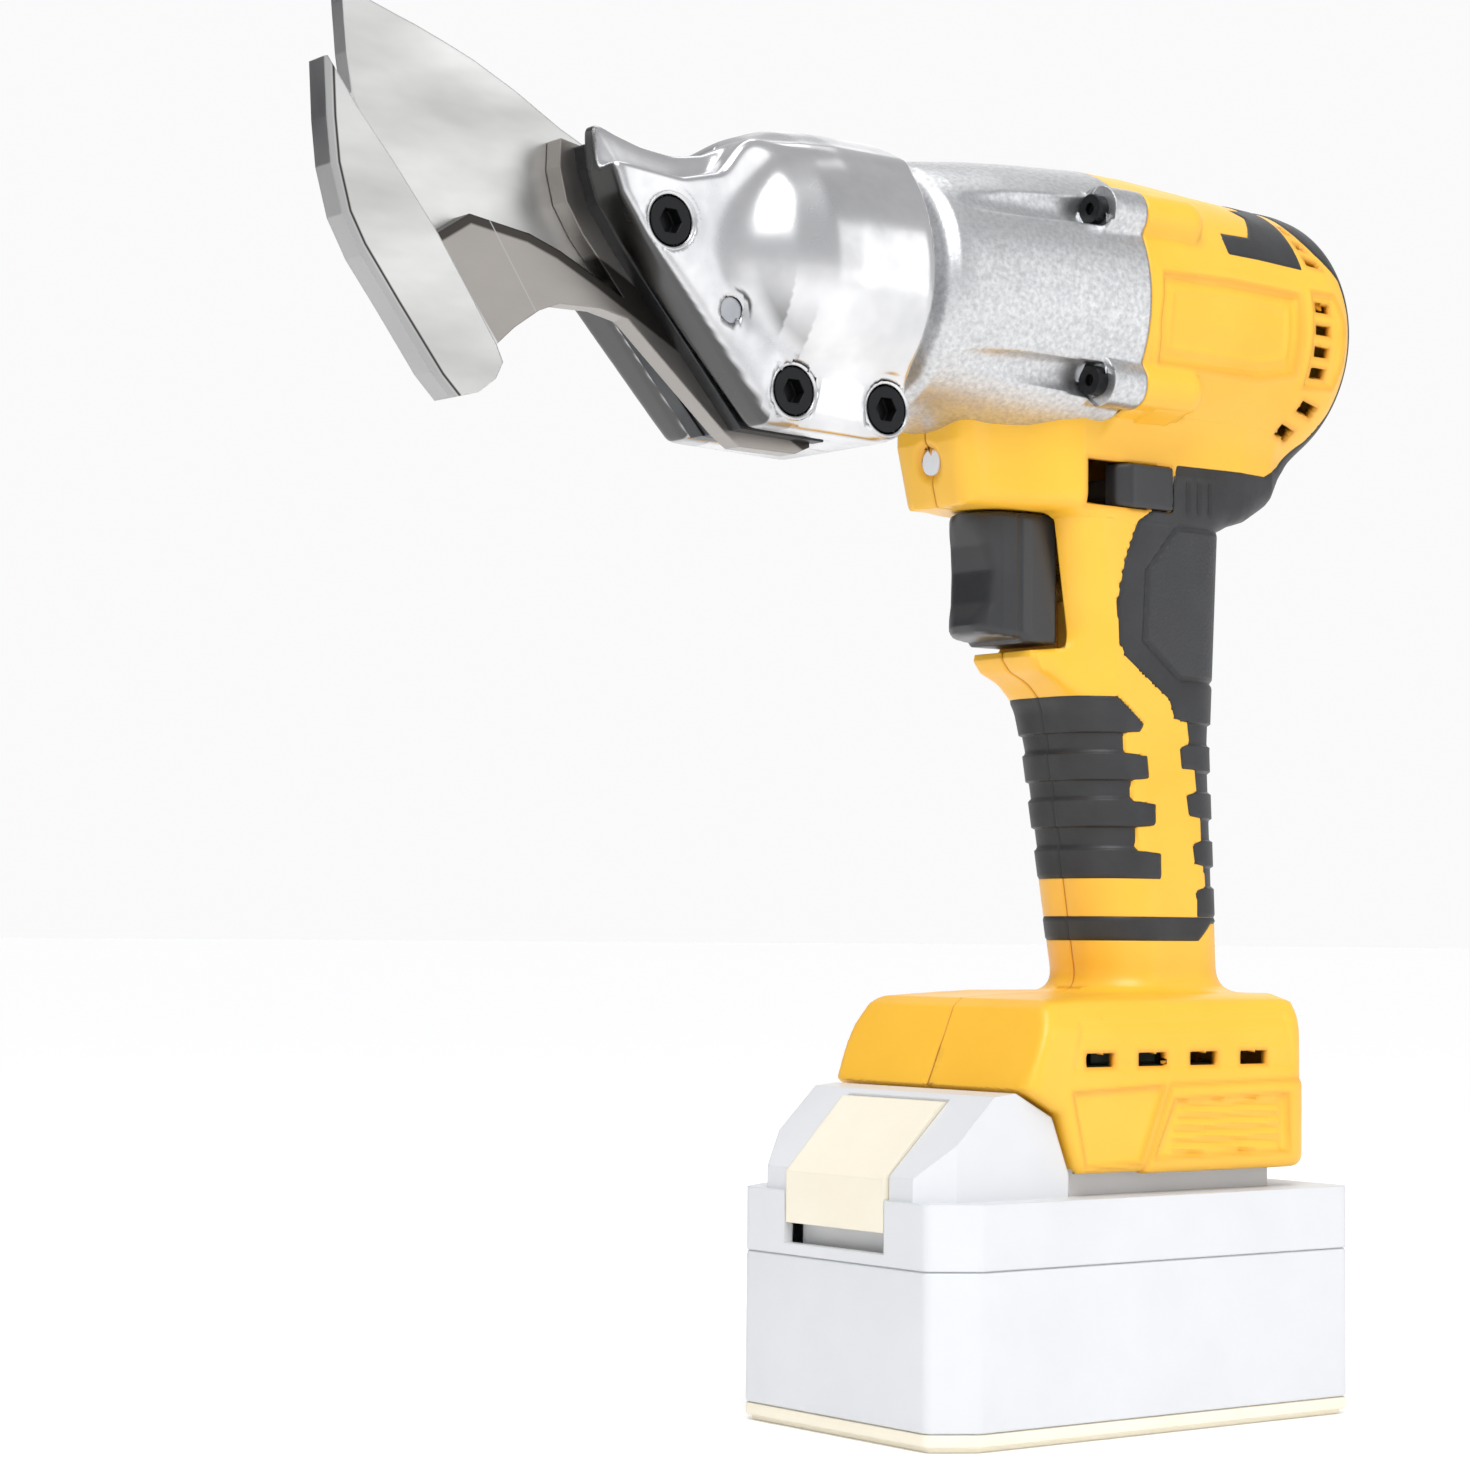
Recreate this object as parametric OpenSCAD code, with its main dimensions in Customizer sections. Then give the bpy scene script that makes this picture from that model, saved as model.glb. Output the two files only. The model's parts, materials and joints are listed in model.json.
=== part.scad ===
// Cordless sheet-metal shear: a pistol-grip power unit with a cast two-blade
// shear head in front and a slide-on battery pack underneath.
// Millimetres. The nose points along -X, up is +Z, and the tool stands on the
// battery's underside with the origin at the middle of that face.

/* [Power unit] */
// Height of the motor and gear axis above the standing surface
axis_z = 252; // [250:0.5:254]
// Radius of the gear case where it meets the plastic housing
case_r = 34; // [33.5:0.5:34.5]
// Rear end of the motor housing along X
rear_x = 74; // [73.5:0.5:76]
// Wall thickness of the plastic housing
wall = 3; // [2.6:0.2:3.2]
// Depth of the rubber let into the housing
rubber_t = 1.2; // [1:0.1:1.4]

/* [Shear head] */
// Radius of the round rear barrel of the head
head_r = 31.5; // [31:0.5:32]
// Rear edge of the head along X
head_rear_x = -57.5; // [-58:0.5:-57]
// Half width over the two cheeks
cheek_y = 20; // [19.5:0.5:20.5]
// Half width of the slot that holds the blades
slot_y = 9; // [8.8:0.1:9.2]
// Pivot bolt of the moving blade along X
pivot_x = -121; // [-121.5:0.5:-120.5]
// Height of the pivot bolt
pivot_z = 255.3; // [255:0.1:255.6]
// Nominal size of the socket screws in the head
bolt_d = 6; // [6:1:6]

/* [Blades] */
// Thickness of the fixed blade
fixed_t = 6; // [5.5:0.5:6]
// Thickness of the moving blade
moving_t = 4.5; // [4:0.5:4.5]
// Gap on each side of the shear plane
shear_gap = 0.1; // [0.05:0.05:0.15]

/* [Drive] */
// Throw of the eccentric pin
throw = 3; // [2.5:0.25:3]
// Teeth on the sun pinion
sun_teeth = 9; // [9:1:9]
// Teeth on each planet gear
planet_teeth = 18; // [18:1:18]
// Number of planet gears
planet_count = 3; // [3:1:3]
// Gear module
gear_m = 1; // [1:0.1:1]
// Face width of the planet gears
gear_w = 14; // [12:1:14]

/* [Battery] */
// Length of the battery pack along X
pack_l = 122; // [120:1:124]
// Width of the battery pack
pack_w = 76; // [75:0.5:77]
// Height of the flat shoulder of the pack
pack_h = 52; // [52:0.5:53]
// Height of the seam between the lower and upper pack cases
pack_seam = 38; // [37.5:0.5:38]

/* [Hidden] */
$fn = 48;

yellow = "#F2B92E";
black = "#2B2C2E";
silver = "#C9CBCC";
steel = "#A9ACAF";
ghost = "#E4E6E8";
cream = "#F6EFD2";
big = 400;
eps = 0.02;
fit = 0.03;

// Stations along X, from the nose backwards
case_front_x = -53;
case_front_r = 29;
case_rear_x = 2;
spigot_x = -78;
spigot_r = 23;
groove_x = [-68, -63];
groove_r = 20.5;
ring_x = [-31, -12];
planet_x = [-29, -29 + gear_w];
carrier_x = [-36, -29.6];
spindle_r = 8;
spindle_nose_r = 6.5;
pin_x = [-93, -84];
pin_r = 3;
roller_r = 5.5;
roller_x = [-92, -86];
motor_x = [12, 42];
shaft_r = 2.5;
lamp_r = 3;
lamp_z = 215;
plunger_r = 3;
plunger_z = 190;

ring_teeth = sun_teeth + 2 * planet_teeth;
planet_orbit = gear_m * (sun_teeth + planet_teeth) / 2;
throw_angle = 45;

fixed_y = [-shear_gap - fixed_t, -shear_gap];
moving_y = [shear_gap, shear_gap + moving_t];
screw_2 = [-88.6, 223.2];
screw_3 = [-63.3, 221.8];
dowel_at = [-105.3, 238.5];
pivot_at = [pivot_x, pivot_z];
cheek_bolts = [screw_2, screw_3];
bolt_head_r = 5;
bolt_head_h = 6;
boss_at = [27, 19.3];
rivet_at = [[-105, 258.5], [-105, 251]];
terminal_y = [-12, -4, 4, 12];
pack_post = [52.5, 25];
post_at = [
    [-24, 211.5], [62, 231], [62, 273], [34, 211], [24, 168], [30, 120], [45.5, 88], [-22, 87]
];

// ---------------------------------------------------------------- helpers

// A profile in X and Z carried along Y from y0 to y1
module slab(y0, y1) {
    translate([0, y1, 0])
        rotate([90, 0, 0])
            linear_extrude(y1 - y0)
                children();
}

// A round bar along Y
module bar_y(at, y0, y1, r) {
    translate([at[0], y1, at[1]])
        rotate([90, 0, 0])
            cylinder(h = y1 - y0, r = r);
}

// A round bar along X about a line at height z and side y
module bar_x(x0, x1, r, y = 0, z = axis_z) {
    translate([x0, y, z])
        rotate([0, 90, 0])
            cylinder(h = x1 - x0, r = r);
}

// A profile of [radius, x] points turned about the motor axis
module turned(points) {
    translate([0, 0, axis_z])
        rotate([0, 90, 0])
            rotate_extrude()
                polygon(points);
}

// A washer-shaped ring about the motor axis
module ring_x_axis(x0, x1, r_out, r_in) {
    difference() {
        bar_x(x0, x1, r_out);
        bar_x(x0 - 1, x1 + 1, r_in);
    }
}

// A box given by its two corners
module block(a, b) {
    translate(a)
        cube(b - a);
}

// The half of space on one side of the middle plane; side is -1 or 1
module half(side) {
    block([-big, side < 0 ? -big : 0, -big], [big, side < 0 ? 0 : big, big]);
}

// A rectangle between two corners with rounded corners
module soft_rect(a, b, r) {
    translate([a[0] + r, a[1] + r])
        offset(r = r, $fn = 32)
            square([b[0] - a[0] - 2 * r, b[1] - a[1] - 2 * r]);
}

function on_circle(r, a) = [r * cos(a), r * sin(a)];
function mirrored(points) = concat(points, [for (i = [len(points) - 1:-1:0]) [points[i][0], -points[i][1]]]);

// ---------------------------------------------------------------- housing shape

// Round motor barrel, drawn in by i; x0 is its open front
module barrel(i, x0) {
    round_r = 10;
    body = [[0, x0], [case_r - i, x0], [case_r - 0.2 - i, 14], [32 - i, 50], [31.6 - i, 62]];
    cx = rear_x - i - round_r;
    cr = 31.3 - i - round_r;
    arc = [for (a = [0:15:90]) [cr + round_r * cos(a), cx + round_r * sin(a)]];
    turned(concat(body, arc, [[0, rear_x - i]]));
}

// Belly under the barrel, with the narrow lamp nose in front
module belly(i) {
    side_line = [
        [-36, 240], [-36.2, 219], [-32.5, 204.5], [40, 204.5], [46, 207.5], [56, 213],
        [65, 220.5], [69, 227], [70, 240]
    ];
    plan = [
        [-40, 12], [-28, 12.5], [-19, 14.8], [-12, 18.4], [-6, 20.2], [42, 20.2], [54, 17],
        [63, 11], [68, 4]
    ];
    intersection() {
        slab(-22, 22)
            offset(delta = -i)
                polygon(side_line);
        translate([0, 0, 190])
            linear_extrude(60)
                offset(delta = -i)
                    polygon(mirrored(plan));
    }
}

// One level slice of the handle
module handle_slice(z, x0, x1, y, r, i) {
    translate([0, 0, z])
        linear_extrude(eps)
            soft_rect([x0 + i, -y + i], [x1 - i, y - i], r - i);
}

// Handle from the foot up into the belly, drawn in by i
module handle(i) {
    hull() {
        handle_slice(95, 10.5, 47.3, 16, 13, i);
        handle_slice(152, 0.9, 44.3, 16.4, 13, i);
    }
    hull() {
        handle_slice(152, 0.9, 44.3, 16.4, 13, i);
        handle_slice(206, -8, 41, 20, 9, i);
    }
}

// Lip under the trigger
module trigger_lip(i) {
    slab(-11 + i, 11 - i)
        offset(delta = -i)
            polygon([[-12.6, 173.6], [-13, 171.6], [-10.5, 168.8], [-2.5, 165.5], [10, 165.5], [10, 173.6]]);
}

// Foot that holds the battery rails, drawn in by i
module foot(i) {
    side_line = [
        [-34.5, 75.5], [-27, 93], [-24.5, 94.8], [0, 96.5], [47, 96.5], [50.5, 94.5], [51.8, 91],
        [52.4, 75], [52.6, 57], [-19, 57], [-24, 70]
    ];
    front_line = [[-34.5, 50], [-34.5, 84], [-33.6, 88], [-30, 94.4], [-26, 96.5]];
    intersection() {
        slab(-35, 35)
            offset(delta = -i)
                polygon(side_line);
        translate([0, 0, 40])
            linear_extrude(80)
                soft_rect([-38 + i, -34.5 + i], [52.6 - i, 34.5 - i], 8 - i);
        translate([-60, 0, 0])
            rotate([90, 0, 90])
                linear_extrude(140)
                    offset(delta = -i)
                        polygon(concat(front_line, [for (k = [4:-1:0]) [-front_line[k][0], front_line[k][1]]]));
    }
}

// The whole outer form without the barrel
module lower_form(i) {
    belly(i);
    handle(i);
    trigger_lip(i);
    foot(i);
}

module outer_form(i, x0) {
    barrel(i, x0);
    lower_form(i);
}

// Zones of the side view that the rubber covers
module rear_grip_zone() {
    slab(-40, 40)
        polygon([
            [23, 217.5], [68, 231], [90, 232], [90, 113.5], [34, 113.5], [34, 158], [22, 163.5],
            [8, 175], [9.5, 194.5], [20.5, 205]
        ]);
}

module front_grip_zone() {
    slab(-40, 40)
        polygon([[-12, 163.4], [10, 163.4], [16.5, 157], [21, 122], [-12, 122]]);
}

module band_zone() {
    block([0, -40, 107.5], [60, 40, 113.4]);
}

module top_pad_zone() {
    slab(-32, 32)
        polygon([
            [29.5, 268.6], [57, 266.2], [rear_x + 2, 267.4], [rear_x + 2, 290], [49, 290],
            [49, 282.6], [30, 272.4]
        ]);
}

// Rubber skin over one zone: the form less the same form drawn in
module rubber_skin() {
    difference() {
        intersection() {
            outer_form(0, case_rear_x);
            children();
        }
        outer_form(rubber_t, -5);
    }
}

// Posts for the clamshell screws, across the housing
module screw_posts(y0, y1, r) {
    for (at = post_at)
        bar_y(at, y0, y1, r);
}

// Everything cut out of the housing but its own cavity
module housing_openings() {
    // room for the gear case
    turned([
        [0, -62], [case_front_r + 0.35, -62], [case_front_r + 0.35, -46], [31.3, -32], [32.5, -20],
        [case_r + 0.1, case_rear_x], [0, case_rear_x]
    ]);
    // trigger mouth
    block([-30, -10.4, 174.4], [4, 10.4, 204.8]);
    // slot for the direction lever, right through
    block([-5, -40, 206], [21, 40, 216.6]);
    // lamp hole
    bar_x(-45, -28, lamp_r + 0.1, 0, lamp_z);
    // underside of the foot
    block([-17, -31.4, 40], [49.4, 31.4, 60]);
    block([-30, -29.5, 50], [0, 29.5, 76]);
    // air slots low on the foot
    for (x = [-13.3:15:32])
        block([x - 4, -40, 80.6], [x + 4, 40, 83.4]);
    // ring of air slots beside the fan
    for (a = [-64:8:64])
        if (abs(a) > 50 || abs(a) < 36)
            for (s = [-1, 1])
                translate([0, 0, axis_z])
                    rotate([s * a + (s < 0 ? 0 : 180), 0, 0])
                        block([57, -40, -1.4], [60.4, -20, 1.4]);
}

// Inside of the housing: ribs that hold the motor, switch and terminals
module housing_ribs() {
    ring_x_axis(8, 11.5, 32, 10);
    ring_x_axis(60.5, 66.5, 30.5, 8);
    ring_x_axis(20, 24, 32, 25.05);
    ring_x_axis(34, 38, 32, 25.05);
    screw_posts(-40, 40, 3.4);
    for (s = [-1, 1])
        block([-14, s < 0 ? -40 : 23.5, 58.4], [51, s < 0 ? -23.5 : 40, 61]);
}

// Places of the four screws that hold the gear case
module case_screw_line(x0, x1, r) {
    for (sy = [-1, 1])
        for (sz = [-1, 1])
            bar_x(x0, x1, r, sy * boss_at[0], axis_z + sz * boss_at[1]);
}

module housing_half(side) {
    intersection() {
        half(side);
        difference() {
            union() {
                difference() {
                    outer_form(0, case_rear_x);
                    difference() {
                        union() {
                            rear_grip_zone();
                            front_grip_zone();
                            band_zone();
                            top_pad_zone();
                        }
                        outer_form(rubber_t, -5);
                    }
                    difference() {
                        outer_form(wall, -5);
                        housing_ribs();
                    }
                }
                case_screw_line(case_rear_x, 22, 5.6);
            }
            housing_openings();
            screw_posts(-8, 40, 1.5);
            screw_posts(9, 40, 2.9);
            case_screw_line(-5, 18, 2);
        }
    }
}

// ---------------------------------------------------------------- power unit

module left_housing() {
    color(yellow)
        housing_half(-1);
}

module right_housing() {
    color(yellow)
        housing_half(1);
}

module top_pad() {
    color(black)
        rubber_skin()
            top_pad_zone();
}

module rear_grip() {
    color(black)
        difference() {
            rubber_skin()
                rear_grip_zone();
            block([-5, -40, 206], [21.4, 40, 216.6]);
            screw_posts(9, 40, 2.9);
        }
}

module front_grip() {
    color(black)
        rubber_skin()
            front_grip_zone();
}

module grip_band() {
    color(black)
        rubber_skin()
            band_zone();
}

module housing_screws() {
    color(steel)
        for (at = post_at) {
            bar_y(at, -7.5, 9, 1.45);
            bar_y(at, 9, 11.5, 2.8);
        }
}

module gear_case_form() {
    turned([
        [0, spigot_x], [spigot_r, spigot_x], [spigot_r, case_front_x - 1.5], [24, case_front_x],
        [27, case_front_x + 1.2], [28.6, case_front_x + 3.6], [case_front_r + 0.3, case_front_x + 7],
        [31.2, -32], [32.4, -20], [case_r, case_rear_x], [0, case_rear_x]
    ]);
    case_screw_line(-8.5, case_rear_x, 5.6);
}

module gear_case() {
    color(silver)
        difference() {
            gear_case_form();
            // groove for the head's clamp rib
            ring_x_axis(groove_x[0], groove_x[1], spigot_r + 1, groove_r);
            // bearing seats and gear chamber
            bar_x(spigot_x - 1, -66.5, 11);
            bar_x(-67, -52, spindle_r + 1);
            bar_x(-53, -39.5, 14);
            bar_x(-40, -30.5, 23);
            bar_x(ring_x[0], case_rear_x - 12.5, 26);
            bar_x(ring_x[1] + 0.5, case_rear_x + 1, 30);
            // screw holes and the scallops that lead to them
            case_screw_line(-30, case_rear_x + 1, 1.7);
            case_screw_line(-36, -8, 3.5);
        }
}

module gear_case_screws() {
    color("#26272A") {
        case_screw_line(-8, 16, 1.65);
        difference() {
            case_screw_line(-11, -8, 3.3);
            case_screw_line(-12, -9.4, 1.4);
        }
    }
}

module case_cover() {
    color(steel)
        difference() {
            bar_x(-11, -2, 29.9);
            bar_x(-12, -8, 8);
            bar_x(-20, 20, 6);
            bar_x(-8.5, -1, 9.5);
        }
}

// Outline of a spur gear; inner rings pass a negative sense
module gear_outline(teeth, sense = 1) {
    pitch_r = gear_m * teeth / 2;
    root_r = pitch_r - sense * 1.15 * gear_m;
    tip_r = pitch_r + sense * 0.7 * gear_m;
    half_pitch = 0.5 * gear_m;
    root_a = (half_pitch + 0.35) / root_r * 180 / PI;
    tip_a = (half_pitch - 0.22) / tip_r * 180 / PI;
    polygon([
        for (i = [0:teeth - 1])
            let (a = 360 / teeth * i)
                each [
                    on_circle(root_r, a - root_a), on_circle(tip_r, a - tip_a),
                    on_circle(tip_r, a + tip_a), on_circle(root_r, a + root_a)
                ]
    ]);
}

// A gear outline carried along X
module gear_x(x0, x1) {
    translate([x0, 0, axis_z])
        rotate([0, 90, 0])
            linear_extrude(x1 - x0)
                children();
}

module ring_gear() {
    color(steel)
        difference() {
            bar_x(ring_x[0], ring_x[1], 26);
            gear_x(ring_x[0] - 1, ring_x[1] + 1)
                gear_outline(ring_teeth, -1);
        }
}

module planet_gear(k) {
    color("#8E9195")
        gear_x(planet_x[0], planet_x[1])
            rotate(k * 360 / planet_count)
                translate([planet_orbit, 0])
                    difference() {
                        rotate(180 / planet_teeth)
                            gear_outline(planet_teeth);
                        circle(r = shaft_r + fit);
                    }
}

module planet_gear_1() {
    planet_gear(0);
}

module planet_gear_2() {
    planet_gear(1);
}

module planet_gear_3() {
    planet_gear(2);
}

module planet_pins() {
    color(steel)
        gear_x(carrier_x[0], planet_x[1] + 0.8)
            for (k = [0:planet_count - 1])
                rotate(k * 360 / planet_count)
                    translate([planet_orbit, 0])
                        circle(r = shaft_r);
}

module output_spindle() {
    color(steel)
        difference() {
            union() {
                bar_x(carrier_x[0], carrier_x[1], 19.5);
                bar_x(-64, carrier_x[0], spindle_r);
                bar_x(pin_x[1], -64, spindle_nose_r);
                bar_x(pin_x[0], pin_x[1], pin_r, throw * cos(throw_angle), axis_z + throw * sin(throw_angle));
            }
            gear_x(carrier_x[0] - 1, carrier_x[1] + 1)
                for (k = [0:planet_count - 1])
                    rotate(k * 360 / planet_count)
                        translate([planet_orbit, 0])
                            circle(r = shaft_r);
        }
}

module eccentric_roller() {
    color("#B9BCC0")
        difference() {
            bar_x(roller_x[0], roller_x[1], roller_r, throw * cos(throw_angle), axis_z + throw * sin(throw_angle));
            bar_x(-95, -84, pin_r + fit, throw * cos(throw_angle), axis_z + throw * sin(throw_angle));
        }
}

module spindle_rear_bearing() {
    color(steel)
        ring_x_axis(-52, -40, 14, spindle_r + fit);
}

module spindle_front_bearing() {
    color(steel)
        ring_x_axis(spigot_x, -67, 11, spindle_nose_r + fit);
}

module motor_front_bearing() {
    color(steel)
        ring_x_axis(-8, -2, 9.5, 4 + fit);
}

module motor_rear_bearing() {
    color(steel)
        ring_x_axis(60.5, 66.5, 8, 4 + fit);
}

module rotor_shaft() {
    color(steel) {
        bar_x(-28.8, -11, shaft_r);
        bar_x(-11, 67, 4);
    }
}

module sun_pinion() {
    color("#8E9195")
        gear_x(-28.8, -11)
            difference() {
                gear_outline(sun_teeth);
                circle(r = shaft_r);
            }
}

module rotor_core() {
    color("#70737A")
        ring_x_axis(14, 40, 12.6, 4);
}

module stator_core() {
    slot_count = 6;
    color("#5E6167")
        difference() {
            ring_x_axis(14, 40, 25, 13.4);
            for (k = [0:slot_count - 1])
                translate([0, 0, axis_z])
                    rotate([60 * k, 0, 0])
                        block([13, -4.5, 15], [41, 4.5, 21.5]);
        }
}

module motor_coils() {
    color("#B4682F")
        for (k = [0:5])
            translate([0, 0, axis_z])
                rotate([60 * k, 0, 0])
                    block([motor_x[0], -4.2, 15.3], [motor_x[1], 4.2, 21.2]);
}

module cooling_fan() {
    blade_count = 11;
    color("#3A3C40")
        difference() {
            union() {
                bar_x(47.5, 57, 7);
                bar_x(47.5, 49.5, 25);
                for (k = [0:blade_count - 1])
                    translate([0, 0, axis_z])
                        rotate([360 / blade_count * k, 0, 0])
                            block([49, -0.7, 6], [56.5, 0.7, 24]);
            }
            bar_x(40, 60, 4);
        }
}

module trigger_switch() {
    color("#3A3C40")
        difference() {
            union() {
                block([4.5, -8.5, 177], [23, 8.5, 204]);
                block([23, -6, 186], [27, 6, 200]);
            }
            bar_x(3, 17, plunger_r + 0.1, 0, plunger_z);
        }
}

module trigger_plunger() {
    color("#8E9195")
        bar_x(-5.5, 9, plunger_r, 0, plunger_z);
}

module trigger() {
    side_line = [
        [-26, 204.4], [-23, 197], [-22, 191], [-22.6, 184], [-24.2, 180.2], [-24.6, 178.6],
        [-23.6, 176.9], [-21, 176.2], [-15, 175.6], [-14.6, 174.8], [-3, 174.8], [-3, 204.4]
    ];
    plan = [
        [-26, 0], [-24.8, 4], [-22.9, 6.8], [-20.6, 8.4], [-16.4, 9], [-15.4, 8.2], [-14, 8.4],
        [-12.6, 10], [-2, 10]
    ];
    color("#303134")
        difference() {
            intersection() {
                slab(-12, 12)
                    polygon(side_line);
                translate([0, 0, 160])
                    linear_extrude(60)
                        polygon(mirrored(plan));
            }
            block([-19, -7, 178.6], [-5.5, 7, 202.5]);
            block([-6, -5.4, 180], [0, 5.4, 200]);
        }
    color("#303134")
        difference() {
            block([-8, -7.5, 185], [-5.5, 7.5, 195]);
            block([-10, -5.4, 188], [-5.5, 5.4, 192]);
        }
}

module trigger_spring() {
    color(steel)
        difference() {
            bar_x(-5.5, 4.5, 4.6, 0, plunger_z);
            bar_x(-6, 5, plunger_r + 0.4, 0, plunger_z);
        }
}

module direction_lever() {
    color("#3A3B3E") {
        block([4.3, -21.8, 206.3], [20.4, -15.6, 216.3]);
        block([4.3, 12.6, 206.3], [20.4, 19, 216.3]);
        block([7, -15.6, 209], [18, 12.6, 213.5]);
    }
}

module led_lens() {
    color("#D9DEE6") {
        bar_x(-34.2, -30.4, lamp_r, 0, lamp_z);
        bar_x(-30.4, -29, lamp_r + 1, 0, lamp_z);
    }
}

module control_board() {
    color("#2F6B46") {
        block([-18, -24, 78.5], [40, 24, 80.1]);
        for (x = [-10, 2, 14])
            block([x, -14, 80.1], [x + 8, 14, 83.4]);
        block([26, -10, 80.1], [36, 10, 92]);
    }
}

module terminal_block() {
    color(black)
        difference() {
            block([44.8, -20, 62], [49.2, 20, 78]);
            for (y = terminal_y)
                block([44, y - 0.5, 63.5], [50, y + 0.5, 67.5]);
        }
}

module terminal_blades() {
    color("#C79A4A")
        for (y = terminal_y)
            block([26, y - 0.5, 63.5], [49, y + 0.5, 67.5]);
}

// ---------------------------------------------------------------- shear head

// Side outline of the flat part of a cheek
function cheek_line() = [
    [-136.7, 275.4], [-131, 273.1], [-124, 271.3], [-116, 270.6], [-108, 272], [-100, 276],
    [head_rear_x, 276], [head_rear_x, 214.4], [-94.6, 215.6], [-127.2, 251.6], [-133.2, 259.6], [-136, 266.5]
];

// Round rear barrel running forward into the flat cheeks
module head_form() {
    slab(-14, 14)
        polygon(cheek_line());
    intersection() {
        slab(-cheek_y, cheek_y)
            polygon(cheek_line());
        slab(-cheek_y, cheek_y)
            polygon([[-150, 200], [-150, 266], [-132, 266.2], [-118, 265], [-108, 267.5], [-96, 284], [-50, 284], [-50, 200]]);
    }
    bar_x(-84, head_rear_x, head_r);
    translate([-84, 0, axis_z])
        rotate([0, -90, 0])
            cylinder(h = 32, r1 = head_r, r2 = 17.5);
}

module screw_recess(at) {
    bar_y(at, -30, 30, bolt_d / 2 + fit);
    bar_y(at, -40, bolt_head_h - cheek_y, bolt_head_r + 0.4);
    translate([at[0], 40, at[1]])
        rotate([90, 0, 0])
            cylinder(h = 40 - cheek_y + 5.5, r = 5.9, $fn = 6);
}

module cheek(side) {
    intersection() {
        half(side);
        difference() {
            head_form();
            // slot for the blades
            block([-160, -slot_y, 200], [-100, slot_y, 300]);
            block([-101, -slot_y, 200], [-72, slot_y, 229.4]);
            // room for the fork and the eccentric roller
            block([-101, -12, 229], [spigot_x - 4, 12, 275.4]);
            block([-112, -slot_y, 229], [-99, slot_y, 280]);
            // seat of the gear case spigot, with the clamp rib
            bar_x(spigot_x - 5, spigot_x, 13);
            bar_x(spigot_x, groove_x[0] + 0.2, spigot_r);
            bar_x(spigot_x, -50, groove_r);
            bar_x(groove_x[1] - 0.2, -50, spigot_r);
            bar_x(-58.5, -50, 27);
            for (at = [pivot_at, screw_2, screw_3])
                screw_recess(at);
            bar_y(dowel_at, -30, 30, 2.75);
        }
    }
}

module left_cheek() {
    color(silver)
        cheek(-1);
}

module right_cheek() {
    color(silver)
        cheek(1);
}

// Socket screw along Y with its head in the left cheek
module socket_screw(at) {
    bar_y(at, bolt_head_h - cheek_y, cheek_y - 0.2, bolt_d / 2);
    difference() {
        bar_y(at, -cheek_y + 0.4, bolt_head_h - cheek_y, bolt_head_r);
        translate([at[0], 0.4 - cheek_y + 3, at[1]])
            rotate([90, 0, 0])
                cylinder(h = 6, r = 2.9, $fn = 6);
    }
}

module cheek_screws() {
    color("#2A2B2E")
        for (at = cheek_bolts)
            socket_screw(at);
}

module pivot_bolt() {
    color("#2A2B2E")
        socket_screw(pivot_at);
}

module lock_nuts() {
    color("#B9BCC0")
        for (at = [pivot_at, screw_2, screw_3])
            difference() {
                union() {
                    translate([at[0], cheek_y - 1.5, at[1]])
                        rotate([90, 0, 0])
                            cylinder(h = 4, r = 5.7, $fn = 6);
                    bar_y(at, cheek_y - 1.5, cheek_y - 0.2, 4.6);
                }
                bar_y(at, 0, 40, bolt_d / 2);
            }
}

module dowel_pin() {
    color(steel)
        bar_y(dowel_at, 0.5 - cheek_y, cheek_y - 0.5, 2.75);
}

// Fixed blade: jaw, shoulder, relief notch, and the plate clamped in the head
module fixed_blade() {
    back = [
        [-165.4, 215.7], [-170.2, 220.4], [-179.4, 232.6], [-186.6, 241.8], [-191, 249.6],
        [-193.8, 259.4], [-194.9, 268.6], [-195.6, 280.4], [-194.8, 280.6]
    ];
    edge = [[-188, 271.6], [-178.8, 261], [-168.8, 248.6]];
    plate = concat(back, edge, [
        [-160.8, 253.8], [-146.2, 251.6], [-138.6, 249], [-128.6, 244.2], [-122.4, 240.9],
        [-127.6, 247], [-133, 253], [-137.2, 259.5], [-139, 266.5], [-138.8, 272.5], [-133, 271.4],
        [-114, 267.4], [-101, 262.6], [-101, 229], [-73, 229], [-73, 214.2], [-77, 212.4],
        [-92, 212.6], [-96, 215.2], [-121.5, 236.8], [-128.4, 238.2], [-138.6, 238],
        [-143.6, 236], [-149.6, 231.8], [-154.4, 227.4], [-158, 221.4]
    ]);
    jaw = concat(back, edge, [
        [-161.2, 237.6], [-154.5, 227.6], [-152.9, 224.2], [-154.5, 220.7], [-158.8, 217.4]
    ]);
    color(steel)
        difference() {
            union() {
                slab(fixed_y[0] + 1, fixed_y[1])
                    polygon(plate);
                slab(fixed_y[0], fixed_y[1])
                    polygon(jaw);
            }
            for (at = [pivot_at, screw_2])
                bar_y(at, -20, 20, bolt_d / 2 + fit);
            bar_y(dowel_at, -20, 20, 2.75);
        }
}

module spacer_line() {
    polygon([
        [-135.5, 271], [-128, 268], [-114, 266], [-101, 262], [-101, 229.4], [-72.2, 229.4], [-72.2, 215],
        [-94.6, 215.8], [-126.4, 251.4], [-131.8, 258.8], [-134.6, 266]
    ]);
}

module left_spacer() {
    color("#6F7276")
        difference() {
            slab(-slot_y, fixed_y[0] + 1)
                spacer_line();
            bar_y(pivot_at, -20, 20, bolt_d / 2 + fit);
            bar_y(screw_2, -20, 20, bolt_d / 2 + fit);
            bar_y(dowel_at, -20, 20, 2.75);
        }
}

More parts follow.
